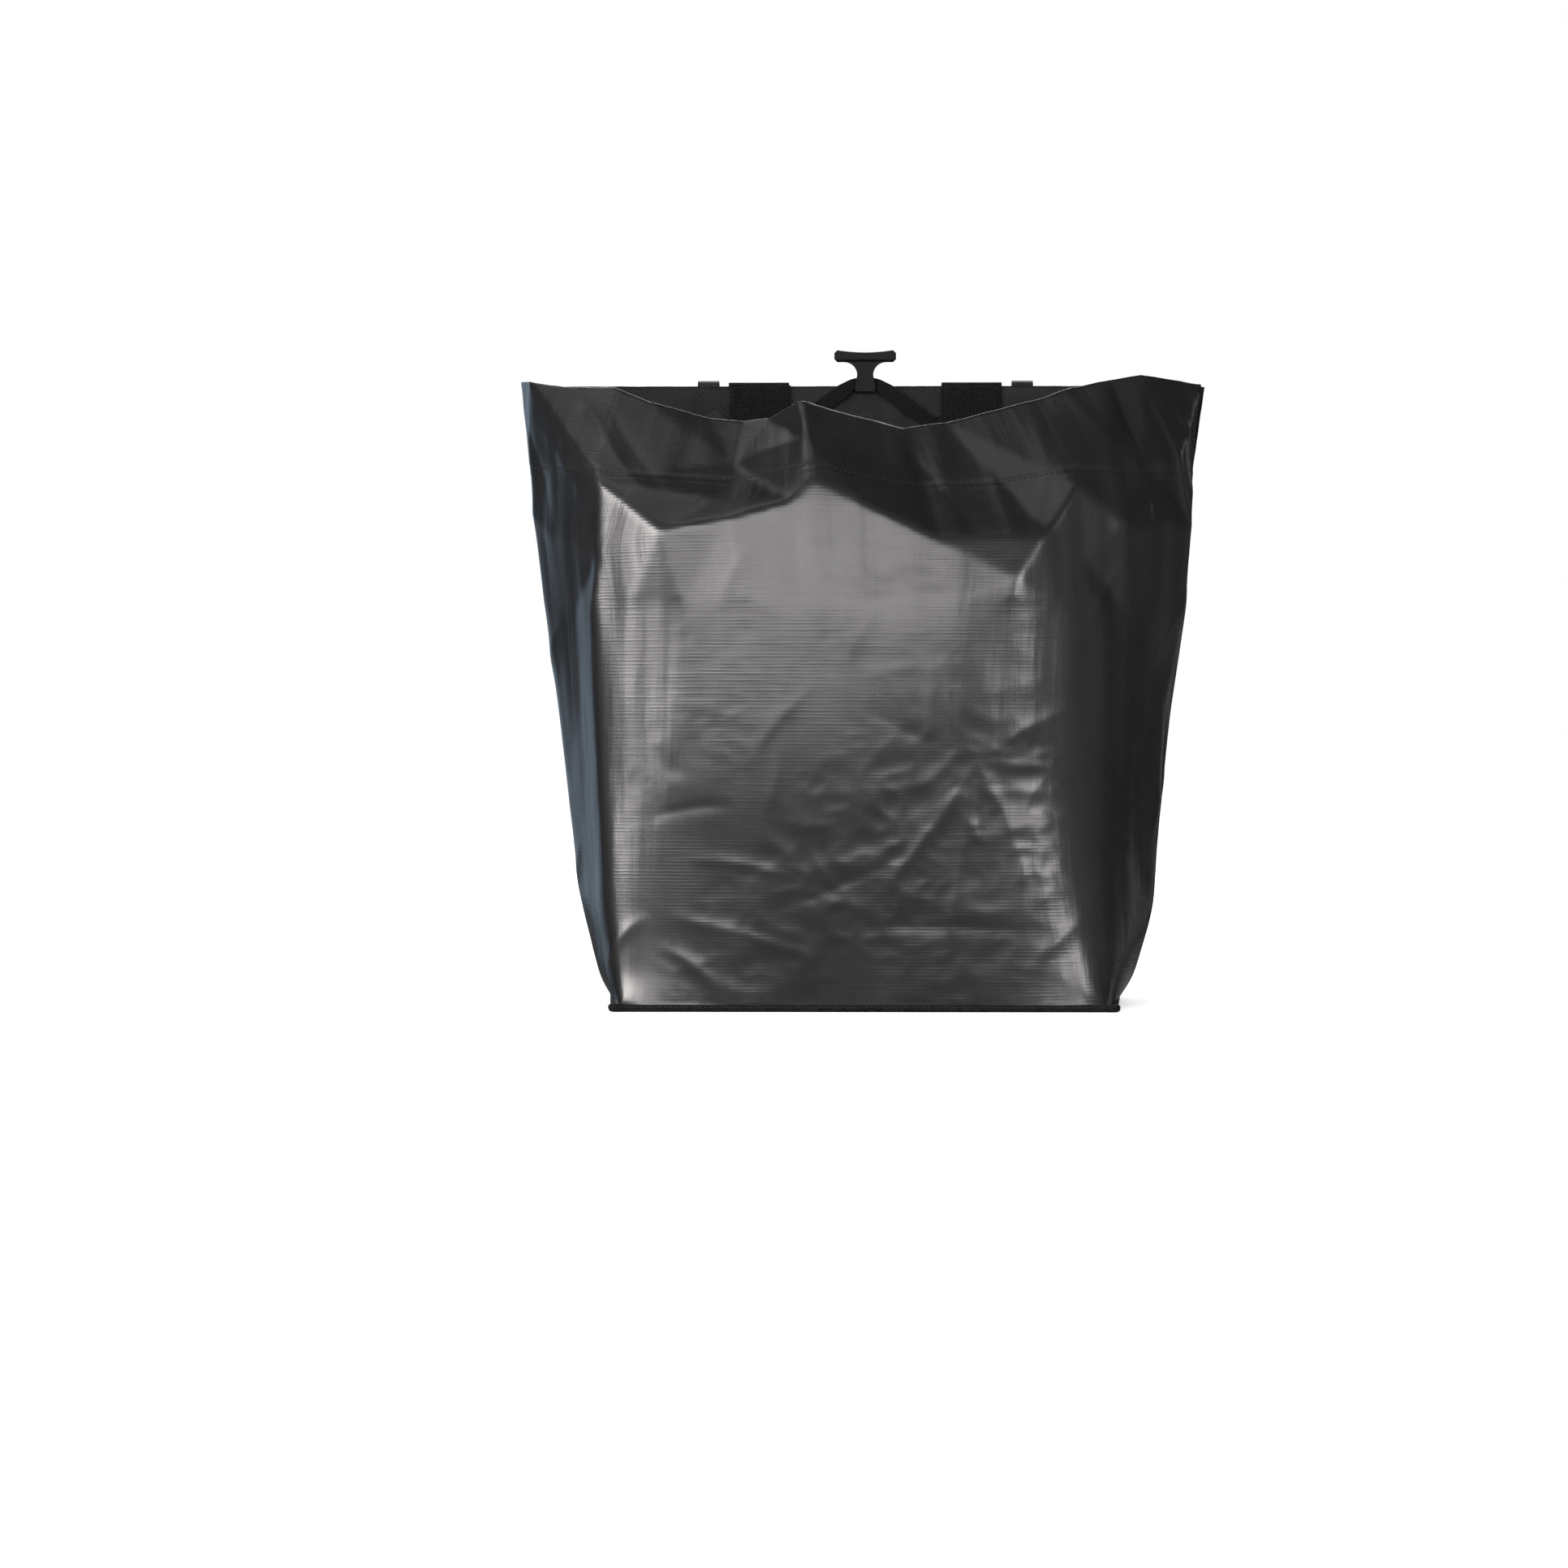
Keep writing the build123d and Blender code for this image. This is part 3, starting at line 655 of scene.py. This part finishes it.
# ---- front and sides ----
# Creases pressed into the cloth: ends on the flat cloth (across, up), height and half width, mm.
CREASES = [
    (406, 158, 336, 70, 0.7, 4), (406, 158, 372, 20, 0.6, 4), (406, 158, 440, 60, 0.5, 5),
    (406, 158, 470, 190, 0.4, 5), (400, 160, 330, 190, -0.4, 6), (360, 100, 262, 60, -0.6, 5),
    (200, 60, 300, 30, 0.6, 4), (215, 95, 290, 82, 0.6, 4), (190, 120, 250, 128, -0.5, 4),
    (196, 40, 236, 12, 0.8, 4), (150, 25, 190, 60, 0.8, 5), (430, 25, 480, 60, 0.8, 5),
    (330, 52, 440, 48, -0.6, 4), (255, 150, 300, 205, 0.4, 5), (320, 215, 345, 260, 0.3, 6),
    (280, 180, 268, 120, 0.4, 4), (120, 160, 132, 230, 0.6, 6),
    (60, 60, 100, 110, 1.2, 9), (40, 190, 95, 250, 1.2, 10), (560, 90, 600, 150, 1.2, 9),
    (545, 200, 600, 270, 1.2, 10), (30, 330, 90, 300, 1.0, 8), (610, 340, 560, 300, 1.0, 8),
    (480, 240, 520, 285, 0.7, 5), (240, 250, 262, 300, 0.4, 5), (372, 270, 388, 205, 0.4, 5),
    (104, 402, 196, 318, 0.9, 4), (128, 400, 204, 325, -0.6, 4), (243, 392, 214, 318, 0.5, 5),
    (420, 392, 426, 288, 0.5, 5), (360, 396, 404, 300, -0.5, 6), (470, 396, 440, 300, 0.6, 5),
    (602, 25, 597, 290, 1.6, 2.5), (575, 360, 520, 300, 0.8, 5), (70, 380, 140, 318, 0.7, 5),
    (577, 404, 592, 240, 1.3, 2.5), (600, 400, 622, 300, 1.2, 4), (540, 395, 552, 290, -0.8, 5),
    (625, 380, 606, 280, -1.0, 5), (20, 395, 48, 300, 1.0, 6), (50, 390, 88, 310, -0.8, 5),
]


def creased(grid, u, v):
    """Presses creases, soft dents and the wrinkles at the seams into the outer cloth."""
    push = np.zeros(u.shape)
    for u0, v0, u1, v1, height, half in CREASES:
        length = math.dist((u0, v0), (u1, v1))
        ex, ey = (u1 - u0) / length, (v1 - v0) / length
        along = (u - u0) * ex + (v - v0) * ey
        aside = (v - v0) * ex - (u - u0) * ey - 3.0 * np.sin(along / length * math.pi)
        fade = np.clip(1 - np.abs(2 * along / length - 1) ** 2, 0, 1)
        push += height * fade * np.exp(-np.abs(aside / half) ** 1.4)
    crumpled_below, left_side, right_side = 200, 180, 480
    low = np.clip((crumpled_below - v) / 60, 0, 1)
    patchy = np.clip(0.8 + 1.2 * lumps(u, v, 80, 12.3), 0, 1)
    patchy *= np.clip(np.minimum(u - left_side, right_side - u) / 40, 0.2, 1)
    push += 0.8 * lumps(u, v, 70, 3.1, stretch=1.6)
    bent = u + 9 * lumps(u, v, 40, 4.9)
    push -= patchy * (0.25 + 0.75 * low) * np.abs(lumps(bent, v, 40, 8.7, stretch=0.6))
    push -= patchy * (0.15 + 0.60 * low) * np.abs(lumps(bent, v, 15, 2.5, stretch=0.8))
    push += (0.8 - 0.5 * low) * lumps(u, v, 17, 6.3, stretch=6.0)
    push += 0.7 * lumps(u, v, 7, 5.5, stretch=4.0) * np.exp(-v / 9)
    stitch_line = CUT_HEIGHT - HEM + 1
    push += 0.5 / (1 + np.exp(-(v - stitch_line + 3) * 1.2))
    push -= 0.55 * np.exp(-((v - stitch_line) / 1.6) ** 2)
    push *= np.clip(np.minimum(u, CUT_WIDTH - u) / 12, 0, 1) * np.clip((v - 1) / 3, 0, 1)
    return grid + grid_normals(grid) * push[..., None] * MM


def turned_hem(grid, u, v):
    """Adds the hem: the cloth turns over the mouth and comes back down inside the bag."""
    normal = grid_normals(grid)
    step = v[1, 0] - v[0, 0]
    rows = int(HEM / step)
    rise = grid[-1] - grid[-2]
    rise = rise / np.linalg.norm(rise, axis=1, keepdims=True)
    turn = [grid[-1] + rise * a * MM - normal[-1] * b * MM
            for a, b in ((0.6, 0.3), (0.8, 0.9), (0.6, 1.5))]
    inner = [grid[-1 - k] - normal[-1 - k] * 1.8 * MM for k in range(rows + 1)]
    more = np.array(turn + inner)
    ups = [v[-1, 0] + 0.7 * (k + 1) for k in range(3)] + [v[-1, 0] + 3 + k * step
                                                         for k in range(rows + 1)]
    new_v = np.repeat(np.array(ups)[:, None], u.shape[1], axis=1)
    return (np.concatenate([grid, more]), np.concatenate([u, np.repeat(u[:1], len(more), axis=0)]),
            np.concatenate([v, new_v]))


def front_wrap():
    """Front and sides: one sheet of coated cloth, creased and fallen in at the mouth."""
    belly_top, left_fold, right_fold = 215, 165, 560
    grid, u, v = first_shape()
    upper = np.clip((v - belly_top) / 45, 0, 1)
    middle = np.clip(np.minimum(u - left_fold, right_fold - u) / 30, 0, 1)
    grid = soften(grid, 0.6 - 0.5 * upper, 10)
    grid = soften(grid, 0.9 * (1 - upper) * middle, 40)
    grid, u, v = finer(grid), finer(u[..., None])[..., 0], finer(v[..., None])[..., 0]
    grid = creased(grid, u, v)
    line = int((CUT_HEIGHT - HEM + 1) / (v[1, 0] - v[0, 0]))
    outs = [Vector(n) for n in grid_normals(grid)[line]]
    hem_row = stitches([Vector(p) for p in grid[line]], outs)
    piece = grid_mesh("front_cloth", *turned_hem(grid, u, v))
    piece.data.materials.append(LOOK["tarpaulin"])
    piece = solidify(sew(piece, [hem_row]), CLOTH)
    finish_piece(piece, "front_wrap")


# ---- back and base ----
def back_grid(depth, step=3.0, low=1.0):
    """A grid over the back at one depth, with the flat place of each point."""
    rows = np.linspace(low, HEIGHT, int((HEIGHT - low) / step) + 1)
    v, t = np.meshgrid(rows, np.linspace(-1, 1, int(2 * BACK_TOP_HALF / step) + 1), indexing="ij")
    half = np.vectorize(half_width)(v)
    grid = np.stack([t * half * MM, np.full(v.shape, LINING_Y - depth * MM), v * MM], axis=2)
    return grid, t * half, v, half


def back_sheet(name, grid, x, v, node, slot):
    piece = grid_mesh(name, grid, x + BACK_TOP_HALF, v)
    piece.data.materials.append(LOOK[slot])
    solidify(piece, 0.5)
    finish_piece(piece, node)


def lining():
    """Inner lining: flat where straps, patches and washers are, slack between them."""
    grid, x, v, half = back_grid(0.0)
    slack = np.ones(x.shape)
    free_below, fade = 320, 12
    fixed = [(-70, 24), (70, 24), (-41.5, 14), (41.5, 14), (-100, 12), (100, 12), (-185, 12),
             (185, 12), (0, 12)]
    for centre, reach in fixed:
        beside = np.clip((np.abs(x - centre) - reach) / fade, 0, 1)
        slack *= np.maximum(beside, np.clip((free_below - v) / fade, 0, 1))
    edge = np.minimum(half - np.abs(x), HEIGHT - v)
    slack *= np.clip(edge / 18, 0, 1) * np.clip((v - 8) / 20, 0, 1)
    folds = np.clip(lumps(x + v * 0.35, v, 26, 1.7, stretch=3.0) + 0.25, 0, 1)
    grid[..., 1] -= (folds * 5.0 + 0.8 * (1 + lumps(x, v, 14, 6.1))) * slack * MM
    back_sheet("lining", grid, x, v, "back_lining", "lining")


def back_cloth():
    """Outer back: coated cloth drawn over the board, puckered along the seams."""
    outer_face, rail_z, rail_half = -3.9, 381, 11
    grid, x, v, half = back_grid(outer_face)
    edge = np.minimum(half - np.abs(x), np.minimum(HEIGHT - v, v))
    push = 0.45 * lumps(x, v, 60, 4.4) + 0.25 * lumps(x, v, 17, 9.2)
    push += 0.35 * lumps(v, x, 9, 2.2, stretch=3.0) * np.exp(-edge / 16)
    behind_rail = np.clip((np.abs(v - rail_z) - rail_half) / 8, 0, 1)
    grid[..., 1] += push * np.clip(edge / 6, 0, 1) * behind_rail * MM
    back_sheet("back_cloth", grid[:, ::-1], x[:, ::-1], v, "back_panel", "tarpaulin")


def base_cloth():
    """Cloth floor of the bag, slightly slack under its board."""
    low = -3.5
    d, t = np.meshgrid(np.linspace(low, BASE_DEPTH - 0.5, 58), np.linspace(-1, 1, 110),
                       indexing="ij")
    half = (BACK_BASE_HALF - 1
            + (FRONT_BASE_HALF - BACK_BASE_HALF) * np.clip(d, 0, None) / BASE_DEPTH)
    edge = np.minimum(half * (1 - np.abs(t)), np.minimum(d - low, BASE_DEPTH - d))
    z = 0.9 - (0.25 + 0.22 * lumps(t * half, d, 22, 7.7)) * np.clip(edge / 10, 0, 1)
    grid = np.stack([t * half * MM, LINING_Y - d * MM, z * MM], axis=2)
    piece = grid_mesh("base_cloth", grid, t * half + BACK_BASE_HALF, BASE_DEPTH - d)
    piece.data.materials.append(LOOK["tarpaulin"])
    finish_piece(piece, "base_panel")


# ---- tapes, webbing and elastic ----
def closed_strip(name, rings, flat_across, lengths, look, loop=False):
    """A closed strip through rings of section points, capped at its ends unless it is a loop."""
    count = len(rings[0])
    ends = len(rings) if loop else len(rings) - 1
    faces = []
    for r in range(ends):
        s = (r + 1) % len(rings)
        for c in range(count):
            d = (c + 1) % count
            faces.append((r * count + c, r * count + d, s * count + d, s * count + c))
    if not loop:
        faces.append(tuple(reversed(range(count))))
        faces.append(tuple(range(ends * count, (ends + 1) * count)))
    flat = [(a, length) for length in lengths for a in flat_across]
    piece = add_piece(name, [tuple(p) for ring in rings for p in ring], faces, flat)
    piece.data.materials.append(LOOK[look])
    return piece


def walked(points):
    """Length along a path at each of its points, mm."""
    out = [0.0]
    for a, b in zip(points, points[1:]):
        out.append(out[-1] + (b - a).length / MM)
    return out


def smooth_path(points, rounds=3):
    """The same path with its corners rounded; its ends stay."""
    for _ in range(rounds):
        inner = [(a + b * 2 + c) / 4 for a, b, c in zip(points, points[1:], points[2:])]
        points = [points[0]] + inner + [points[-1]]
    return points


def tangents(points):
    return [(b - a).normalized() for a, b in
            zip([points[0]] + points[:-1], points[1:] + [points[-1]])]


def flat_section(width, thick, columns=14):
    """Woven band: flat faces with rounded selvages, as (across, out) in mm, and its flat place."""
    half, side = width / 2, thick / 2
    spots = [-half + side + (width - thick) * k / columns for k in range(columns + 1)]
    turn = [(half - side + side * math.cos(a), side * math.sin(a)) for a in (0.8, 0, -0.8)]
    points = ([(s, side) for s in spots] + turn + [(s, -side) for s in reversed(spots)]
              + [(-a, -b) for a, b in turn])
    return points, [p[0] + half for p in points]


def band(name, path, across, widths, thick, look):
    """A woven band along a path, its width lying along the given directions."""
    lengths = walked(path)
    rings, flat = [], None
    for point, way, side, width, length in zip(path, tangents(path), across, widths, lengths):
        out = side.cross(way).normalized()
        section, flat = flat_section(width, thick)
        wave = 0.12 * noise.noise((length / 9, 4.2, width))
        rings.append([point + side * a * MM + out * (b + wave) * MM for a, b in section])
    return closed_strip(name, rings, flat, lengths, look)


def folded_tape(name, path, profile, out, node):
    """Tape folded over a straight edge of the back, sewn through its flange."""
    back = Vector((0, 1, 0))
    lengths = walked(path)
    flat = [0.0]
    for a, b in zip(profile, profile[1:]):
        flat.append(flat[-1] + math.dist(a, b))
    rings = []
    for point, length in zip(path, lengths):
        wave = 0.18 * noise.noise((length / 7, 1.3, len(profile)))
        rings.append([point + out * (a + wave * (a > 0)) * MM + back * b * MM for a, b in profile])
    piece = closed_strip(name, rings, flat, lengths, "binding_tape")
    seam_in, seam_back = 5.6, 4.9
    line = [p - out * seam_in * MM + back * seam_back * MM for p in path]
    piece = sew(piece, [stitches(line, [back] * len(line), size=(1.25, 0.28, 0.25))])
    finish_piece(piece, node)


def bindings():
    """Tape on both side edges and the top edge of the back."""
    side_profile = [(0.1, -0.3), (0.9, -0.5), (1.25, 0.1), (1.25, 3.8), (1.0, 4.5), (0.4, 4.85),
                    (-1.0, 4.85), (-7.4, 4.85), (-7.9, 4.5), (-7.4, 4.05), (-1.0, 4.05), (0.1, 3.6)]
    top_profile = [(0.0, 0.0), (0.55, -0.1), (0.8, 0.5), (0.8, 4.0), (0.5, 4.7), (-0.4, 4.9),
                   (-1.2, 4.85), (-7.3, 4.85), (-7.9, 4.5), (-7.3, 4.1), (-1.2, 4.05), (0.0, 3.6)]
    for side, sign in (("left", -1), ("right", 1)):
        low = at(sign * half_width(FOOT_Z), 0, FOOT_Z)
        high = at(sign * half_width(HEIGHT), 0, HEIGHT)
        way = (high - low).normalized()
        out = Vector((sign * way.z, 0, -sign * way.x))
        path = densely([low, high] if sign < 0 else [high, low], 3.0)
        folded_tape(f"side_tape_{side}", path, side_profile, out, f"side_binding_{side}")
    ends = [at(1 - half_width(HEIGHT), 0, HEIGHT), at(half_width(HEIGHT) - 1, 0, HEIGHT)]
    folded_tape("top_tape", densely(ends, 3.0), top_profile, Vector((0, 0, 1)), "back_top_binding")


def base_seam():
    """Bound seam round the foot: a soft roll with a small ear at each front corner."""
    grow, count = 1.2, 12
    corners = [(-BACK_BASE_HALF, -4.0), (-BACK_BASE_HALF, 0), (-FRONT_BASE_HALF, BASE_DEPTH),
               (FRONT_BASE_HALF, BASE_DEPTH), (BACK_BASE_HALF, 0), (BACK_BASE_HALF, -4.0)]
    outline = [at(x + math.copysign(grow, x), depth + grow * (depth > 0), 2.4)
               for x, depth in corners]
    path = smooth_path(densely(outline + outline[:1]), 2)[:-1]
    lengths = walked(path)
    rings, line, outs = [], [], []
    for i, point in enumerate(path):
        way = (path[(i + 1) % len(path)] - path[i - 1]).normalized()
        out = Vector((-way.y, way.x, 0)) if way.cross(at(0, 84, 2.4) - point).z < 0 else \
            Vector((way.y, -way.x, 0))
        ear = sum(math.exp(-((point - c).length / MM / 5) ** 2) for c in outline[2:4])
        swell = 1 + 0.10 * noise.noise((lengths[i] / 8, 3.3, 0)) + 1.0 * ear
        lift = 0.25 * noise.noise((lengths[i] / 17, 9.1, 0)) + 0.8 * ear
        ring = []
        for k in range(count):
            a, b = math.cos(math.tau * k / count), math.sin(math.tau * k / count)
            up = 2.3 * b + lift * (b > -0.5)
            ring.append(point + out * (1.45 * a * swell + 0.8 * ear) * MM + Vector((0, 0, up * MM)))
        rings.append(ring)
        line.append(point + out * 1.5 * MM + Vector((0, 0, 0.6 * MM)))
        outs.append(out)
    flat = [14 * k / count for k in range(count)]
    piece = closed_strip("base_seam", rings, flat, lengths, "binding_tape", loop=True)
    piece = sew(piece, [stitches(line, outs, 3.6, (1.2, 0.28, 0.2))])
    finish_piece(piece, "base_binding")


def box_stitch(x0, x1, z0, z1, depth):
    """Rectangle with a cross in it, sewn on an inner face."""
    p = [at(x0, depth, z0), at(x1, depth, z0), at(x1, depth, z1), at(x0, depth, z1)]
    rows = []
    for a, b in zip((0, 1, 2, 3, 0, 1), (1, 2, 3, 0, 2, 3)):
        path = densely([p[a], p[b]])
        rows.append(stitches(path, [Vector((0, -1, 0))] * len(path)))
    return rows


def strap_end(side, lean, slack):
    """Sewn end of the carry strap, a little askew, up the lining to the top edge."""
    low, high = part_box(f"handle_end_{side}")
    middle, bottom = (low.x + high.x) / 2 / MM, low.z / MM
    path = []
    for s in np.linspace(0, 1, 60):
        bow = 1.15 + 0.9 * slack * math.sin(math.pi * s)
        path.append(at(middle + lean * (s - 0.5), bow, bottom + (HEIGHT + 0.9 - bottom) * s))
    across = [Vector((1, 0, 0.012 * lean)).normalized()] * len(path)
    piece = band(f"strap_{side}", path, across, [39.6] * len(path), 1.9, "webbing")
    piece = sew(piece, box_stitch(middle - 16, middle + 16, bottom + 4, bottom + 32, 2.3))
    finish_piece(piece, f"handle_end_{side}")


def fold_section(angle, columns=20):
    """Webbing folded lengthwise by an angle at its middle: (across, out) points and flat place."""
    half, side, bend = 19.8, 0.95, 1.05
    arc = bend * angle
    near, far = [], []
    spots = [-half + 2 * half * k / columns for k in range(columns + 1)]
    for s in spots:
        sign, turned = (1 if s >= 0 else -1), min(abs(s), arc) / bend
        rest = max(0.0, abs(s) - arc)
        point = Vector((sign * (bend * math.sin(turned) + rest * math.cos(turned)),
                        bend * (1 - math.cos(turned)) + rest * math.sin(turned)))
        out = Vector((sign * math.sin(turned), -math.cos(turned)))
        near.append(point + out * side)
        far.append(point - out * side)
    flat = [s + half for s in spots]
    return near + far[::-1], flat + flat[::-1]


def handle_path():
    """Middle of the webbing and how far it is folded, from one strap's end to the bow's middle."""
    strap_x, near, bow_z, bow_r, leg_z = 70.0, 14.0, 300.0, 70.0, 340.0
    doubled = math.pi / 2
    over = [(0.6, 402.9), (0.3, 403.9), (-0.6, 404.3), (-6, 404.3), (-11.5, 404.3), (-13.3, 403.7),
            (-near, 402.0)]
    stops = [(-strap_x, depth, z, 0.0) for depth, z in over]
    stops += [(-strap_x, -near, z, 0.0) for z in np.linspace(398, leg_z, 16)]
    steps = 14
    for k in range(1, steps + 1):
        share = k / steps
        stops.append((-strap_x, -near, leg_z + (bow_z - leg_z) * share,
                      doubled * share * share * (3 - 2 * share)))
    bow_steps = 24
    for k in range(1, bow_steps + 1):
        angle = math.pi / 2 * k / bow_steps
        stops.append((-bow_r * math.cos(angle), -near, bow_z - bow_r * math.sin(angle), doubled))
    return [(at(x, depth, z), fold) for x, depth, z, fold in stops], len(over)


def carry_handle():
    """Carry handle: flat webbing over the top edge, folding to a doubled grip in a hanging bow."""
    half, over = handle_path()
    path = half + [(Vector((-p.x, p.y, p.z)), fold) for p, fold in reversed(half[:-1])]
    points = [p for p, _ in path]
    lengths = walked(points)
    back = Vector((0, 1, 0))
    rings, flat, seam, sides = [], None, [], []
    for i, ((point, fold), way) in enumerate(zip(path, tangents(points))):
        if min(i, len(path) - 1 - i) <= over:
            side = Vector((1 if point.x < 0 else -1, 0, 0))
            out = side.cross(way).normalized()
        else:
            side = way.cross(back).normalized()
            out = back
        section, flat = fold_section(max(fold, 0.001))
        sway = 0.25 * noise.noise((lengths[i] / 22, 6.6, 0))
        rings.append([point + side * (a.x + sway) * MM + out * a.y * MM for a in section])
        if fold > 1.5:
            seam.append(point + back * 16 * MM)
            sides.append(side)
    piece = closed_strip("carry_strap", rings, flat, lengths, "webbing")
    rows = [stitches([p + s * 2.05 * sign * MM for p, s in zip(seam, sides)],
                     [s * sign for s in sides]) for sign in (1, -1)]
    piece = sew(piece, rows)
    finish_piece(piece, "carry_handle", "handle")


def elastic():
    """One flat elastic in an upside-down V, sewn under its patches and gathered in the pull."""
    depth = 2.8
    legs = [(-44.0, 378.0), (-7.0, 404.8), (7.0, 404.8), (44.0, 378.0)]
    path = smooth_path(densely([at(x, depth, z) for x, z in legs], 1.0), 6)
    across = [Vector((0, 1, 0)).cross(way).normalized() for way in tangents(path)]
    widths = [6.6 + 3.4 * min(1.0, max(0.0, (abs(p.x) / MM - 7) / 8)) for p in path]
    piece = band("elastic", path, across, widths, 1.15, "elastic_fabric")
    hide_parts("elastic_band")
    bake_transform(piece)


def patch(side):
    """Patch sewn on the lining, over the end of the elastic."""
    low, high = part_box(f"elastic_tab_{side}")
    size, count = (high.x - low.x) / MM, 22
    a, b = np.meshgrid(np.linspace(0, 1, count), np.linspace(0, 1, count))
    edge = np.minimum(np.minimum(a, 1 - a), np.minimum(b, 1 - b)) * size
    depth = 0.5 + 0.6 * np.clip(edge / 1.2, 0, 1) + 0.12 * lumps(a * size, b * size, 4, 3.0)
    x, z = low.x / MM + a * size, low.z / MM + b * size
    grid = np.stack([x * MM, LINING_Y - depth * MM, z * MM], axis=2)
    piece = grid_mesh(f"patch_{side}", grid, a * size, b * size)
    piece.data.materials.append(LOOK["patch_cloth"])
    stitched = box_stitch(low.x / MM + 2, high.x / MM - 2, low.z / MM + 2, high.z / MM - 2, 1.15)
    piece = solidify(sew(piece, stitched), 0.5)
    finish_piece(piece, f"elastic_tab_{side}")


# ---- moulded and metal parts, kept from the frame ----
def dress(node, look, bevel, segments=3):
    """Gives a frame node its material and rounded edges."""
    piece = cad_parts[node]
    piece.data.materials.clear()
    piece.data.materials.append(LOOK[look])
    modifier = piece.modifiers.new("edges", "BEVEL")
    modifier.width = bevel * MM
    modifier.segments = segments
    modifier.limit_method = "ANGLE"
    modifier.angle_limit = math.radians(35)
    modifier.harden_normals = True


def dress_hard_parts():
    """Materials and edges of the hooks, rail, fasteners, boards and pull."""
    for side in ("left", "right"):
        dress(f"hook_{side}", "hook_nylon", 0.7)
        dress(f"hook_liner_{side}", "liner_rubber", 0.25)
        dress(f"hook_nut_plate_{side}", "fastener_steel", 0.3)
        dress(f"hook_screws_{side}", "fastener_steel", 0.25)
        dress(f"rail_cap_{side}", "hook_nylon", 0.5)
    dress("hook_rail", "rail_aluminium", 0.3)
    dress("rail_rivets", "fastener_steel", 0.3)
    dress("rivet_washers", "fastener_steel", 0.2)
    dress("t_pull", "pull_rubber", 1.1, 4)
    dress("back_board", "stiffener_plastic", 0.5)
    dress("base_board", "stiffener_plastic", 0.6)


make_camera()
make_lights()
make_world()
make_floor()
front_wrap()
lining()
back_cloth()
base_cloth()
bindings()
base_seam()
strap_end("left", lean=2.2, slack=0.7)
strap_end("right", lean=-0.8, slack=0.4)
carry_handle()
elastic()
patch("left")
patch("right")
dress_hard_parts()
